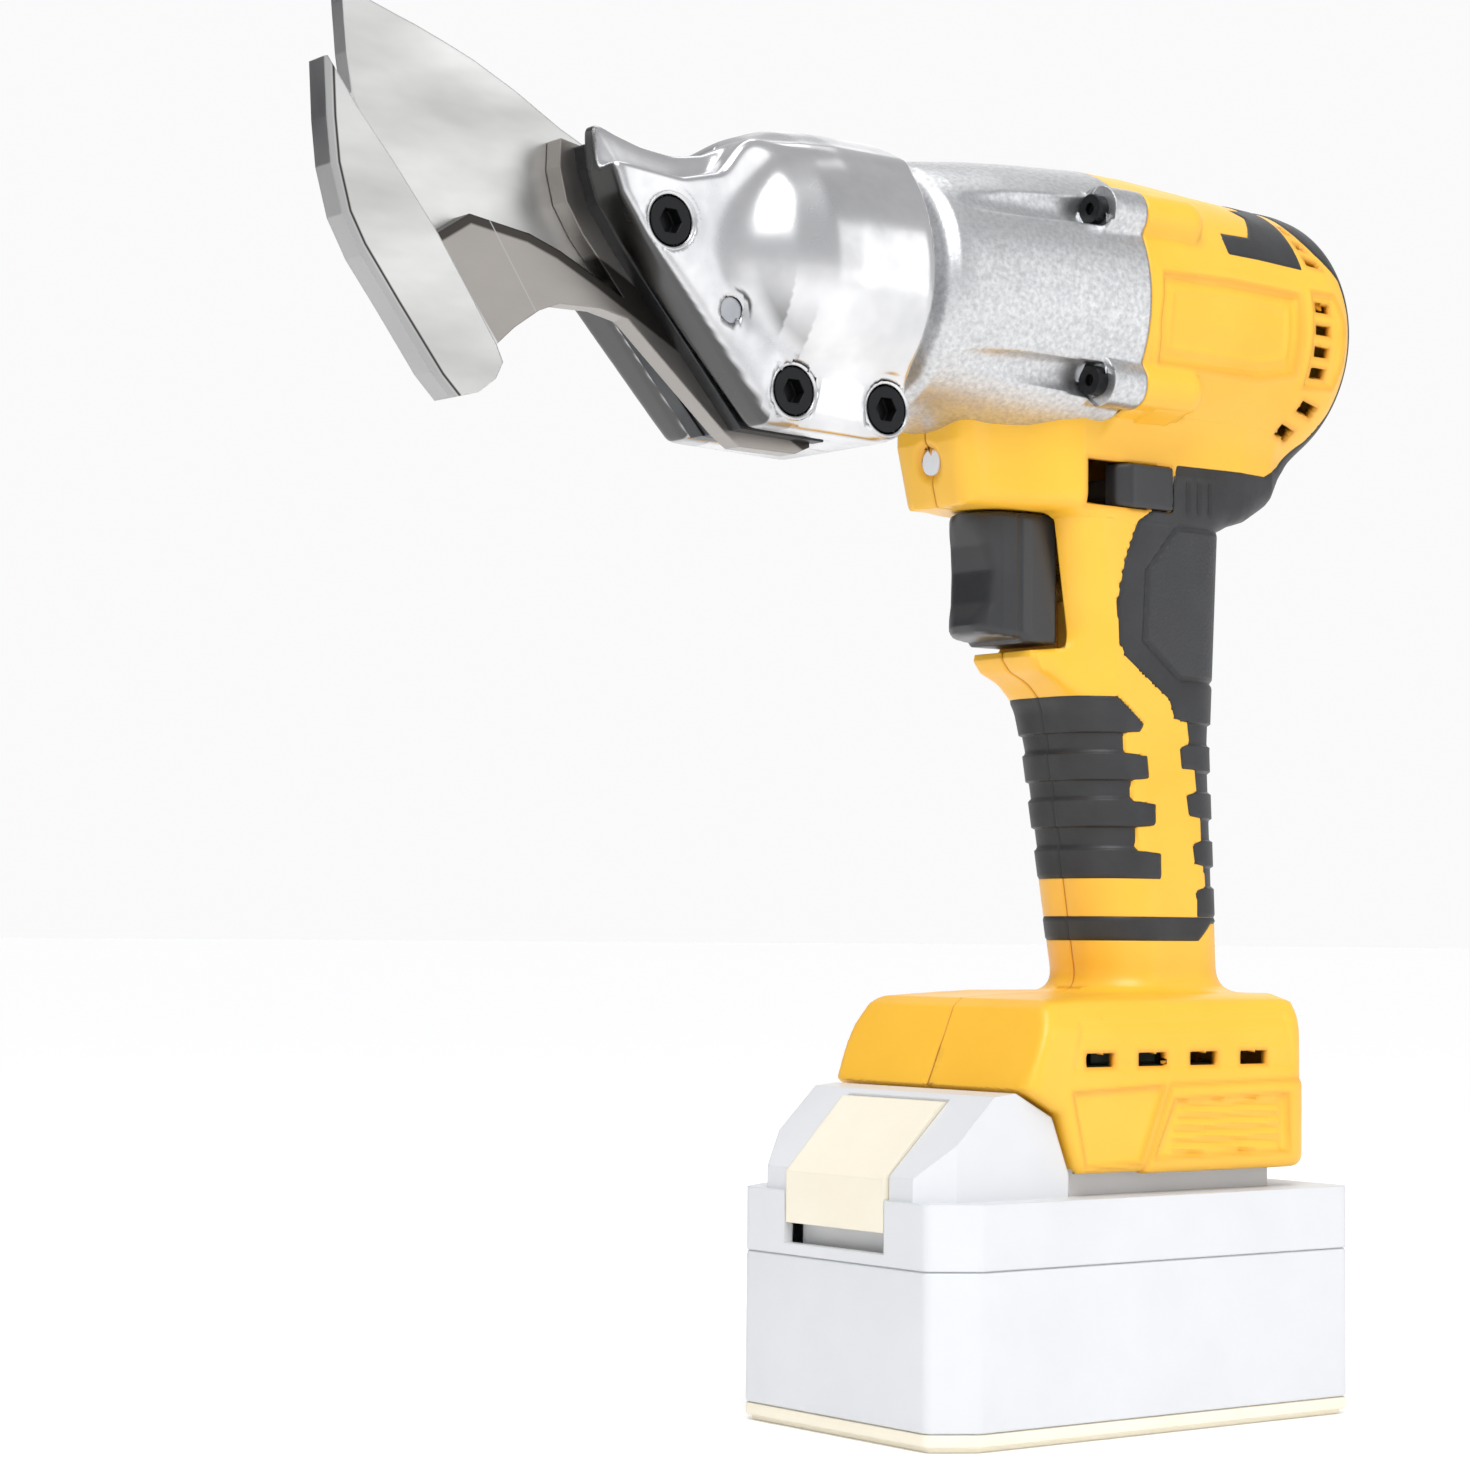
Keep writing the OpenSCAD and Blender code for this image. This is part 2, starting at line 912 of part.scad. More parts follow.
module right_spacer() {
    color("#6F7276")
        difference() {
            slab(moving_y[1] + 0.1, slot_y)
                polygon([
                    [-135.5, 271], [-128, 268], [-113.4, 265.5], [-113.4, 244], [-102.4, 240], [-102.4, 229.4],
                    [-72.2, 229.4], [-72.2, 215], [-94.6, 215.8], [-126.4, 251.4], [-131.8, 258.8],
                    [-134.6, 266]
                ]);
            bar_y(pivot_at, -20, 20, bolt_d / 2 + fit);
            bar_y(screw_2, -20, 20, bolt_d / 2 + fit);
            bar_y(dowel_at, -20, 20, 2.75);
        }
}

// Filler beside the fixed blade, below the moving blade's tail
module lower_spacer() {
    color("#6F7276")
        difference() {
            slab(fixed_y[1], moving_y[1] + 0.1)
                polygon([[-100, 229], [-73, 229], [-73, 215.2], [-94, 215.8], [-110, 233.8], [-104, 233.8]]);
            bar_y(screw_2, -20, 20, bolt_d / 2 + fit);
            bar_y(dowel_at, -20, 20, 2.75);
        }
}

module moving_blade() {
    outline = [
        [-188.4, 298.4], [-186, 296.8], [-181, 295], [-176.4, 293.6], [-171, 292],
        [-163.4, 289.4], [-157, 287], [-146.8, 282.2], [-135.6, 276], [-126, 271.6],
        [-112, 266.5], [-98.2, 265.5], [-98.2, 246], [-112, 245.5], [-122, 242.4], [-131, 243.4],
        [-145, 246.4], [-158, 242], [-163, 244.6], [-172, 253.5], [-181, 266], [-185.6, 275.8],
        [-187, 284], [-188, 293.8]
    ];
    color("#B7BABD")
        difference() {
            slab(moving_y[0], moving_y[1])
                polygon(outline);
            bar_y(pivot_at, -20, 20, 5);
            for (at = rivet_at)
                bar_y(at, -20, 20, 1.8);
        }
}

module pivot_bush() {
    color("#B08A45")
        difference() {
            bar_y(pivot_at, moving_y[0], moving_y[1], 5);
            bar_y(pivot_at, -20, 20, bolt_d / 2 + fit);
        }
}

// Steel fork on the blade's tail, with room around the roller's whole circle
module drive_fork() {
    color("#8E9195")
        difference() {
            union() {
                slab(moving_y[1], slot_y - 0.4)
                    polygon([[-110.5, 262.5], [-110.5, 248], [-100, 246], [-97, 242], [-97, 266]]);
                block([-97.8, moving_y[0], 236.8], [-94.6, slot_y - 0.4, 272]);
                for (z = [236.8, 268.2])
                    block([-95, -6, z], [-85.2, slot_y - 0.4, z + 3.8]);
            }
            for (at = rivet_at)
                bar_y(at, -20, 20, 1.8);
        }
}

module fork_rivets() {
    color(steel)
        for (at = rivet_at)
            bar_y(at, moving_y[0], slot_y - 0.4, 1.8);
}

// ---------------------------------------------------------------- battery

// Plan of the pack, drawn in by i: its front corners are cut off
module pack_plan(i) {
    x = pack_l / 2;
    y = pack_w / 2;
    offset(r = 3 - min(i, 2), $fn = 32)
        offset(delta = -3 - i + min(i, 2))
            polygon(mirrored([[-x, y - 6.5], [10 - x, y], [x, y]]));
}

// Hood in front of the foot, which holds the latch
module hood(i) {
    intersection() {
        slab(-31 + i, 31 - i)
            offset(delta = -i)
                polygon([[-59.6, 46], [-59.6, 57], [-41.5, 74.2], [-35.6, 74.8], [-25.2, 69.4], [-20.2, 57], [-20.2, 46]]);
        translate([0, 0, 40])
            linear_extrude(40)
                offset(delta = -i)
                    polygon(mirrored([[-60, 25], [-52, 31], [-20, 31]]));
    }
}

// Rail tower that slides into the foot
module tower(i) {
    block([-21, -28 + i, 46], [44 - i, 28 - i, 68 - i]);
}

module battery_base() {
    color(cream)
        difference() {
            union() {
                linear_extrude(1.2)
                    pack_plan(1.4);
                translate([0, 0, 1.2])
                    linear_extrude(2.8)
                        pack_plan(0);
            }
            translate([0, 0, 2.4])
                linear_extrude(4)
                    pack_plan(2.5);
        }
}

module battery_lower_case() {
    color(ghost)
        difference() {
            translate([0, 0, 4])
                linear_extrude(pack_seam - 4)
                    pack_plan(0);
            translate([0, 0, 3])
                linear_extrude(pack_seam)
                    pack_plan(2.5);
        }
    color(ghost)
        for (x = [-pack_post[0], pack_post[0]])
            for (y = [-pack_post[1], pack_post[1]])
                difference() {
                    translate([x, y, 2.4])
                        cylinder(h = pack_seam - 2.4, r = 4);
                    translate([x, y, 10])
                        cylinder(h = 40, r = 1.5);
                }
}

module battery_upper_case() {
    color(ghost)
        difference() {
            union() {
                translate([0, 0, pack_seam])
                    linear_extrude(pack_h - pack_seam)
                        pack_plan(0);
                hood(0);
                tower(0);
            }
            translate([0, 0, pack_seam - 1])
                linear_extrude(pack_h - pack_seam - 1.5)
                    pack_plan(2.5);
            hood(2.5);
            block([-24, -25.5, 46], [41.5, 25.5, 56]);
            block([-40, -21, 46], [41.5, 21, 65.5]);
            // grooves for the foot's rails
            for (s = [-1, 1])
                block([-20.2, s < 0 ? -40 : 23, 58.1], [50, s < 0 ? -23 : 40, 61.3]);
            // slots for the terminals
            for (y = terminal_y)
                block([10, y - 0.9, 62], [50, y + 0.9, 70]);
            // pocket for the latch
            block([-72, -17.4, 40.5], [-55, 17.4, 58]);
            slab(-17.4, 17.4)
                polygon([[-64, 56], [-64, 64], [-45.5, 78], [-42.6, 78], [-42.6, 66], [-52, 56]]);
            block([-24, -8.4, 60], [-12.5, 8.4, 80]);
            block([-34, -8.4, 58], [-20, 8.4, 66.8]);
        }
}

module battery_cells() {
    color("#5E7F9E")
        for (i = [-2:2])
            for (k = [0, 1])
                bar_y([19 * i, 14 + 18.8 * k], -32.5, 32.5, 9.1);
}

module battery_board() {
    color("#2F6B46") {
        block([-36, -20, 43.5], [38, 20, 45.1]);
        for (y = terminal_y)
            block([20, y - 2, 45.1], [30, y + 2, 56]);
    }
}

module battery_screws() {
    color(steel)
        for (x = [-pack_post[0], pack_post[0]])
            for (y = [-pack_post[1], pack_post[1]])
                translate([x, y, 12])
                    cylinder(h = 25, r = 1.45);
}

module latch_button() {
    color(cream) {
        slab(-17, 17)
            polygon([
                [-60.8, 45], [-60.8, 56.4], [-45, 72.6], [-43, 72.6], [-43, 70.4], [-56.6, 57], [-56.6, 45]
            ]);
        slab(-8, 8)
            polygon([
                [-52, 61.6], [-48, 63], [-17.5, 63], [-13, 63], [-13, 70.8], [-16.2, 71.4], [-18.4, 71.4],
                [-18.4, 65.6], [-48.5, 65.6]
            ]);
    }
}

module latch_spring() {
    color(steel)
        difference() {
            translate([-30, 0, 45.1])
                cylinder(h = 17.9, r = 4);
            translate([-30, 0, 44])
                cylinder(h = 20, r = 3);
        }
}

left_housing();
right_housing();
top_pad();
rear_grip();
front_grip();
grip_band();
housing_screws();
gear_case();
gear_case_screws();
case_cover();
ring_gear();
stator_core();
motor_coils();
motor_front_bearing();
motor_rear_bearing();
spindle_rear_bearing();
spindle_front_bearing();
trigger_switch();
led_lens();
control_board();
terminal_block();
terminal_blades();
left_cheek();
right_cheek();
fixed_blade();
left_spacer();
right_spacer();
lower_spacer();
cheek_screws();
pivot_bolt();
lock_nuts();
dowel_pin();
moving_blade();
pivot_bush();
drive_fork();
fork_rivets();
output_spindle();
planet_pins();
planet_gear_1();
planet_gear_2();
planet_gear_3();
eccentric_roller();
rotor_shaft();
rotor_core();
cooling_fan();
sun_pinion();
trigger();
trigger_plunger();
trigger_spring();
direction_lever();
battery_base();
battery_lower_case();
battery_upper_case();
battery_cells();
battery_board();
battery_screws();
latch_button();
latch_spring();
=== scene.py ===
"""Cordless sheet-metal shear: the outside of the tool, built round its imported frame.

Every shape is worked out in millimetres as a distance field, negative inside, and each skin is the
place where rays from a core line leave that field.
"""

import json
import math

import bpy
import numpy as np
from mathutils import Matrix


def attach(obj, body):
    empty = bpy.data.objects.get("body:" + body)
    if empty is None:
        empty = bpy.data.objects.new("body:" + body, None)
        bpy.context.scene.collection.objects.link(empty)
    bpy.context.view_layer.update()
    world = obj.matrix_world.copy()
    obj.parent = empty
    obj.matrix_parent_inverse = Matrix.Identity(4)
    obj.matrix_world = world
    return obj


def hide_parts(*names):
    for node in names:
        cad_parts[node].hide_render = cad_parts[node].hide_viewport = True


bl_info = {
    "name": "Sheet-metal shear",
    "version": (1, 0, 0),
    "blender": (4, 5, 0),
    "location": "View3D > Sidebar > Shear",
    "description": "Builds the skins and finishes of a cordless sheet-metal shear on its frame",
    "category": "Object",
}

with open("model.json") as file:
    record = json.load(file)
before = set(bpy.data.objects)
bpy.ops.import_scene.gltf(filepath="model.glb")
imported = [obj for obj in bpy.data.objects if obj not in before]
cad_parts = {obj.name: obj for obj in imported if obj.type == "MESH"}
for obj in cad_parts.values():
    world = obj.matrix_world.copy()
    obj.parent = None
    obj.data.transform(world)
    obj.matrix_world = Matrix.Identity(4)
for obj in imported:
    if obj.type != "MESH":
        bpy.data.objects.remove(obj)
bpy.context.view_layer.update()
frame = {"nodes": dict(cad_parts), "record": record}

MM = 0.001
# height of the motor and spindle axis, and the front rim of the yellow barrel
AXIS = 252.0
RIM_X = 2.0
# the long screws beside and above the axis, and the radius of their bosses
LONG_SCREWS = (27, 19.3)
BOSS_R = 5.6
# height of the lamp, and how far back its nose reaches
LAMP_Z = 215
NOSE_X = -30
# screw recesses of the right half
POST_R = 2.9
# half width of the trigger mouth, and its back wall
MOUTH_HALF = 10.4
MOUTH_BACK = 4
# depth and half width of the seam groove between the halves
SEAM_DEPTH = 0.25
SEAM_HALF = 0.25
# the rubber stays inside this X, stands this far proud of the housing, and has this wall
RUBBER_END = 73.95
RUBBER_PROUD = 0.2
RUBBER_WALL = 0.55
# walls of the cheeks, the gear case and the trigger, whose shell ends at this X
CHEEK_WALL = 1.2
CASE_WALL = 2.2
TRIGGER_WALL = 1.4
TRIGGER_REAR = -5.2
# half the gap between the two halves of the housing, and between the cheeks
HOUSING_GAP = 0.05
CHEEK_GAP = 0.04
# points closer than this become one
MERGE = 0.004
# half the step over which a field's slope is measured
SLOPE_STEP = 0.02
# how far a patch runs on past its cuts, and how deep its edge dips under its neighbour
CUT_MARGIN = 1.2
CUT_DIP = 0.35

# ------------------------------------------------------------------ outlines, in mm


def both(pts):
    """The outline and its mirror image across v = 0, as one closed loop."""
    return pts + [(u, -v) for u, v in reversed(pts)]


def rectangle(u0, u1, v0, v1):
    """A rectangle as an outline."""
    return [(u0, v0), (u1, v0), (u1, v1), (u0, v1)]


BELLY_SIDE = [
    (-36, 240), (-36.2, 219), (-32.5, 204.5), (41, 204.5), (48, 206.4), (58.6, 211.8), (67, 219.4),
    (70.6, 226.5), (71.6, 240),
]
BELLY_PLAN = both([
    (-40, 12), (-28, 12.5), (-19, 14.8), (-12, 18.4), (-6, 20.2), (44, 20.2), (56, 17.8), (65, 12.5),
    (70, 5),
])
LIP_SIDE = [(-12.6, 173.6), (-13, 171.6), (-10.5, 168.8), (-2.5, 165.5), (10, 165.5), (10, 173.6)]
FOOT_SIDE = [
    (-34.5, 75.5), (-27, 93), (-24.5, 94.8), (0, 96.5), (47, 96.5), (50.5, 94.5), (51.8, 91),
    (52.4, 75), (52.6, 57), (-19, 57), (-24, 70),
]
FOOT_FRONT = both([(40, 34.5), (84, 34.5), (88, 33.6), (94.4, 30), (96.5, 26)])
HANDLE_Z = [95, 152, 206]
HANDLE_FRONT = [10.5, 0.9, -8]
HANDLE_REAR = [47.3, 44.3, 41]
HANDLE_HALF = [16, 16.4, 20]
HANDLE_CORNER = [13, 13, 9]
MOUTH_SIDE = [(-60, 174.4), (-60, 204.8), (MOUTH_BACK, 204.8), (MOUTH_BACK, 174.4)]

REAR_GRIP = [
    (22.9, 217.3), (40, 217.4), (53, 217.4), (60, 220.6), (66.4, 227), (69, 233.5), (70, 243),
    (69.6, 256), (68, 264.4), (65, 267.4), (62.2, 270.3), (60.2, 273.6), (59, 277), (58, 290), (90, 290),
    (90, 113.3),
    (33.3, 113.3), (33.3, 119.6), (36.3, 120.4), (35.8, 125.1), (32.5, 125.6), (31.7, 130.2),
    (34.6, 131.1), (34.3, 136.2), (30.5, 136.7), (29.6, 141.5), (32.9, 142.4), (32.2, 147.4),
    (28.1, 147.5), (27.4, 152.5), (30.4, 153.4), (29.3, 158.2), (25.4, 158.9), (23.4, 163.3),
    (9.2, 172.3), (6.8, 176.1), (5.8, 185.1), (7.4, 194.3), (10.8, 203.6), (18.8, 208.8),
]
INSET = [
    (23.2, 203.2), (90, 202.6), (90, 167.8), (26.5, 167.8), (14.5, 176.5), (14.4, 192.5),
]
FRONT_GRIP = [
    (-20, 163.4), (7.6, 163.4), (15.9, 157.5), (15, 155.5), (10.7, 155.1), (11, 150.7),
    (17.3, 150.2), (18, 144.9), (13.1, 144.4), (13.2, 139.8), (20.1, 139.2), (20.2, 134.2),
    (14.6, 133.6), (14.8, 128.5), (21.9, 127.9), (22, 121.9), (-20, 121.9),
]
FRONT_STEPS = [(150.5, 155.4), (139.9, 144.6), (128.6, 134.0)]
REAR_STEPS = [(120, 125.3), (131, 136.4), (142, 147.4), (153, 158.5)]
BAND = [(-20, 107.6), (33.9, 107.8), (38.8, 111.8), (90, 113.2), (90, 113.4), (-20, 113.4)]
TOP_PAD = [
    (29.5, 268.6), (29.6, 265.7), (39.9, 265.7), (55, 265.2), (56.4, 290), (49, 290), (49, 281),
    (43, 280.1), (45.2, 277.7), (39.9, 271.6), (30, 271.2),
]
PANEL = [(6, 257.8), (28, 258.6), (50.8, 258.3), (51, 240.4), (40, 238.3), (6.6, 238.2), (5, 247)]
VENT_FRAME = [(56, 259.8), (63.6, 259.8), (66.4, 254.5), (67, 245), (65.6, 238.6), (55.6, 237.8)]
SIDE_VENTS = [rectangle(57.2, 62.4, z - 1.25, z + 1.25) for z in (256.6, 251.2, 246, 241)] + [
    [(57.4, 234.9), (63.4, 233.8), (62.6, 231.4), (56.6, 232.5)],
    [(54.6, 229.6), (60.4, 228.4), (59.4, 226), (53.8, 227.3)],
    [(56.4, 277.2), (58, 277.2), (58.2, 275.2), (56.5, 275.2)],
    [(56.6, 273.2), (59.2, 272.6), (59.8, 270.6), (56.8, 271)],
    [(57, 269.2), (61.4, 268.2), (62.4, 266.3), (57.2, 266.8)],
]
FOOT_VENTS = [rectangle(x - 4.3, x + 4.3, 80.2, 83.2) for x in (-13.2, 2.5, 18.3, 34)]
LEVER_SLOT = rectangle(-5, 21, 206, 216.6)
OPENINGS = SIDE_VENTS + FOOT_VENTS + [LEVER_SLOT]
FOOT_PANEL = [(-22, 79), (-18.5, 90.4), (46.4, 91.6), (47.4, 79)]
BADGE = [(-21.6, 74.6), (5.4, 75.6), (-1.7, 59.2), (-17.6, 58.6)]
LOUVRE = [(8.6, 72.6), (44.4, 73.2), (44.4, 60.4), (2.4, 60)]
SKIRT = [(8, 75.8), (60, 76.4), (60, 50), (-3, 50), (0.2, 58)]
CHEEK_FULL = [
    (-136.7, 275.4), (-131, 273.1), (-124, 271.3), (-116, 270.6), (-108, 272), (-100, 276),
    (-57.5, 276), (-57.5, 214.4), (-94.6, 215.6), (-127.2, 251.6), (-133.2, 259.6), (-136, 266.5),
]
CHEEK_TOP = [
    (-150, 190), (-150, 266), (-132, 266.2), (-118, 265), (-108, 267.5), (-96, 284), (-50, 284),
    (-50, 190),
]
TRIGGER_SIDE = [
    (-26, 204.4), (-23, 197), (-22, 191), (-22.6, 184), (-24.2, 180.2), (-24.6, 178.6),
    (-23.6, 176.9), (-21, 176.2), (-15, 175.6), (-14.6, 174.8), (-3, 174.8), (-3, 204.4),
]
TRIGGER_PLAN = both([
    (-26, 0.5), (-24.8, 4), (-22.9, 6.8), (-20.6, 8.6), (-16.6, 9.5), (-15.9, 9.2), (-15.2, 9.7),
    (-12.6, 10), (-2, 10),
])
# places seen from the side: the head's screws and dowel, and the screw recesses of the right half
SCREWS = [(-121.0, 255.3), (-88.6, 223.2), (-63.3, 221.8)]
DOWEL = (-105.3, 238.5)
POSTS = [(-24, 211.5), (34, 211), (24, 168), (30, 120), (45.5, 88), (-22, 87)]

# ------------------------------------------------------------------ distance fields


def outline(u, v, corners):
    """Distance to a closed outline: the nearest edge gives the size, edge crossings the sign."""
    best = np.full(np.shape(u), 1e9)
    inside = np.zeros(np.shape(u), bool)
    for (a0, a1), (b0, b1) in zip(corners, corners[1:] + corners[:1]):
        du, dv = b0 - a0, b1 - a1
        t = np.clip(((u - a0) * du + (v - a1) * dv) / (du * du + dv * dv), 0, 1)
        best = np.minimum(best, (u - a0 - t * du) ** 2 + (v - a1 - t * dv) ** 2)
        inside ^= ((a1 > v) != (b1 > v)) & (u < du * (v - a1) / (dv if dv else 1e-9) + a0)
    return np.where(inside, -1, 1) * np.sqrt(best)


def join(a, b, k):
    """Two bodies run together with a fillet about k wide."""
    h = np.clip(0.5 + 0.5 * (b - a) / k, 0, 1)
    return b + (a - b) * h - k * h * (1 - h)


def meet(a, b, k):
    """What two bodies share, with its edges rounded over about k."""
    return -join(-a, -b, k)


def ease(t):
    """A smooth step from 0 to 1 as t goes from 0 to 1."""
    t = np.clip(t, 0, 1)
    return t * t * (3 - 2 * t)


def soft_box(x, y, centre, half, r):
    """Distance to a rectangle with corners of radius r."""
    qx = np.abs(x - centre[0]) - half[0] + r
    qy = np.abs(y - centre[1]) - half[1] + r
    return np.hypot(np.maximum(qx, 0), np.maximum(qy, 0)) + np.minimum(np.maximum(qx, qy), 0) - r


def from_screws(y, z):
    """Distance to the nearest of the four long screws' axes."""
    return np.hypot(np.abs(y) - LONG_SCREWS[0], np.abs(z - AXIS) - LONG_SCREWS[1])


def barrel(x, y, z):
    """Motor barrel: a turned profile with a 10 mm rear rounding and four long screw bosses."""
    rho = np.hypot(y, z - AXIS)
    profile = [(-20, -30), (-20, 24), (14, 23.8), (50, 22), (62, 21.6), (64, 21.3), (64, -30)]
    boss = np.hypot(np.maximum(x - 16.5, 0), from_screws(y, z)) - BOSS_R
    return np.maximum(join(outline(x, rho, profile) - 10, boss, 0.9), RIM_X - x)


def belly(x, y, z):
    """Switch belly and lamp nose: the side outline and the plan outline, edges rounded."""
    return meet(outline(x, z, BELLY_SIDE), outline(x, y, BELLY_PLAN), 5)


def handle(x, y, z):
    """Handle: a rounded rectangle whose ends move evenly with height."""
    x0 = np.interp(z, HANDLE_Z, HANDLE_FRONT)
    x1 = np.interp(z, HANDLE_Z, HANDLE_REAR)
    half = ((x1 - x0) / 2, np.interp(z, HANDLE_Z, HANDLE_HALF))
    d = soft_box(x, y, ((x0 + x1) / 2, 0), half, np.interp(z, HANDLE_Z, HANDLE_CORNER))
    return np.maximum(d, np.maximum(z - 214, 80 - z))


def foot(x, y, z):
    """Battery foot: side outline, rounded plan and sloping shoulders."""
    plan = soft_box(x, y, (7.3, 0), (45.3, 34.5), 8)
    return meet(meet(outline(x, z, FOOT_SIDE), plan, 2.5), outline(z, y, FOOT_FRONT), 2.0)


def mouth(x, y, z):
    """Opening for the trigger in front of the handle."""
    return meet(meet(outline(x, z, MOUTH_SIDE), np.abs(y) - MOUTH_HALF, 0.5), x - MOUTH_BACK, 0.5)


def housing(x, y, z):
    """The whole moulded housing, its bodies run together with fillets, less the trigger mouth."""
    upper = join(barrel(x, y, z), belly(x, y, z), 5)
    grip = join(handle(x, y, z), meet(outline(x, z, LIP_SIDE), np.abs(y) - 11, 2), 6)
    body = join(join(upper, grip, 3), foot(x, y, z), 6)
    return meet(body, -mouth(x, y, z), 0.6)


def gear_case(x, y, z):
    """Gear case: a turned cone with screw bosses and the long flutes that lead to the screws."""
    rho = np.hypot(y, z - AXIS)
    body = outline(x, rho, [
        (-60, -30), (-60, 22.6), (-54.2, 22.6), (-53, 24.4), (-51.8, 27), (-49.4, 28.6), (-46, 29.3),
        (-32, 31.2), (-20, 32.4), (1.7, 33.9), (1.7, -30),
    ])
    side = from_screws(y, z)
    boss = np.maximum(np.maximum(side - BOSS_R, -8.6 - x), x - 1.7)
    flute = np.hypot(np.maximum(-42 - x, 0) * 0.45, side) - 4.1
    flute = np.maximum(flute, x + 8.4)
    return meet(join(body, boss, 1.2), -flute, 0.7)


def cheek(x, y, z):
    """Left head casting: flat jaw plate, round rear barrel and the cone between them, with the
    blade slot cut out."""
    full = outline(x, z, CHEEK_FULL)
    plate = np.minimum(
        meet(full, np.abs(y) - 14, 1.2),
        meet(meet(full, outline(x, z, CHEEK_TOP), 1.6), np.abs(y) - 20, 1.8),
    )
    rho = np.hypot(y, z - AXIS)
    drum = outline(x, rho, [
        (-113, -30), (-113, 16), (-103, 22.4), (-94, 27.8), (-86, 30.6), (-78, 31.5), (-57.5, 31.5),
        (-57.5, -30),
    ])
    head = join(plate, drum + 0.3, 3.0)
    slot = np.maximum(np.abs(y) - 9, np.maximum(x + 72, np.where(x < -99, -50, z - 229.4)))
    for (x0, z0), r in [(at, 7.4) for at in SCREWS] + [(DOWEL, 4.4)]:
        head = meet(head, -np.maximum(np.hypot(x - x0, z - z0) - r, 20 + y), 0.5)
    return meet(head, -slot, 1.0)


def trigger(x, y, z):
    """Trigger: side outline and plan outline, edges rounded."""
    return meet(outline(x, z, TRIGGER_SIDE), outline(x, y, TRIGGER_PLAN), 1.6)


# ------------------------------------------------------------------ skins from fields


def change(distance, p):
    """How much a distance grows along X, Y and Z over twice the slope step."""
    return np.stack([distance(p + way) - distance(p - way) for way in np.eye(3) * SLOPE_STEP], -1)


def normals(field, p):
    """Outward directions: the field's slope at each point."""
    g = change(lambda q: field(q[..., 0], q[..., 1], q[..., 2]), p)
    return g / np.maximum(np.linalg.norm(g, axis=-1, keepdims=True), 1e-9)


def halve(value, lo, hi):
    """Halves the stretch from lo, inside the field, to hi, outside it, ten times."""
    for _ in range(10):
        mid = (lo + hi) / 2
        out = value(mid) > 0
        lo, hi = np.where(out, lo, mid), np.where(out, mid, hi)
    return lo, hi


def skin(field, start, end, up, along, around, caps, reach):
    """Grid of points where rays from a core line leave the field.

    The first parameter runs along the core and fans out round each end that has a cap; the second
    turns about it, in even steps if around is a count, or else at its shares of a turn. Each ray is
    halved between the core and its reach, and three secant steps finish it."""
    a, b = np.array(start, float), np.array(end, float)
    axis = (b - a) / np.linalg.norm(b - a)
    n = np.array(up, float) - np.dot(up, axis) * axis
    n /= np.linalg.norm(n)
    s = np.cross(axis, n)
    t = np.linspace(0, 1, along)
    lean = np.zeros(along)
    if caps[0]:
        fan = np.linspace(-math.pi / 2, 0, caps[0], endpoint=False)
        t, lean = np.concatenate([np.zeros(caps[0]), t]), np.concatenate([fan, lean])
    if caps[1]:
        fan = np.linspace(math.pi / 2, 0, caps[1], endpoint=False)[::-1]
        t, lean = np.concatenate([t, np.ones(caps[1])]), np.concatenate([lean, fan])
    v = 2 * math.pi * (np.asarray(around) if np.ndim(around) else np.linspace(0, 1, around))
    ring = np.cos(v)[:, None] * n + np.sin(v)[:, None] * s
    d = np.cos(lean)[:, None, None] * ring[None] + np.sin(lean)[:, None, None] * axis
    o = (a + t[:, None] * (b - a))[:, None, :] + np.zeros_like(d)
    value = lambda r: field(*np.moveaxis(o + r[..., None] * d, -1, 0))
    lo, hi = halve(value, np.zeros(d.shape[:2]), np.full(d.shape[:2], float(reach)))
    f0, f1 = value(lo), value(hi)
    for _ in range(3):
        mid = lo + (hi - lo) * np.clip(-f0 / np.where(f1 - f0 == 0, 1, f1 - f0), 0.02, 0.98)
        fm = value(mid)
        out = fm > 0
        lo, f0 = np.where(out, lo, mid), np.where(out, f0, fm)
        hi, f1 = np.where(out, mid, hi), np.where(out, fm, f1)
    return o + mid[..., None] * d


def settle(field, p, n, distance, reach, where=None):
    """Moves points that lie within reach of a line onto it, along the surface, then back onto the
    surface: the line then runs through the grid without steps."""
    s = distance(p)
    near = np.abs(s) < reach
    if where is not None:
        near &= where(p)
    q = p[near]
    if not len(q):
        return p
    g = change(distance, q) / (2 * SLOPE_STEP)
    m = n[near]
    g -= np.sum(g * m, -1, keepdims=True) * m
    size = np.sum(g * g, -1, keepdims=True)
    step = np.where(size > 0.1, -s[near][:, None] * g / np.maximum(size, 1e-9), 0)
    step *= np.minimum(1, 1.6 * reach / np.maximum(np.linalg.norm(step, axis=-1, keepdims=True), 1e-9))
    q = q + step
    q = q - field(q[:, 0], q[:, 1], q[:, 2])[:, None] * m
    p = p.copy()
    p[near] = q
    return p


def grid_faces(rows, cols, wrap=False):
    """Corner numbers of the squares of a grid, the last column joined to the first if wrap."""
    i, j = np.meshgrid(np.arange(rows - 1), np.arange(cols if wrap else cols - 1), indexing="ij")
    k = (j + 1) % cols
    return np.stack([i * cols + j, i * cols + k, (i + 1) * cols + k, (i + 1) * cols + j], -1).reshape(-1, 4)


def side_line(corners):
    """Distance to an outline drawn in the side view."""
    return lambda p: outline(p[..., 0], p[..., 2], corners)


def ring_line(at, r):
    """Distance to a circle drawn in the side view."""
    return lambda p: np.hypot(p[..., 0] - at[0], p[..., 2] - at[1]) - r


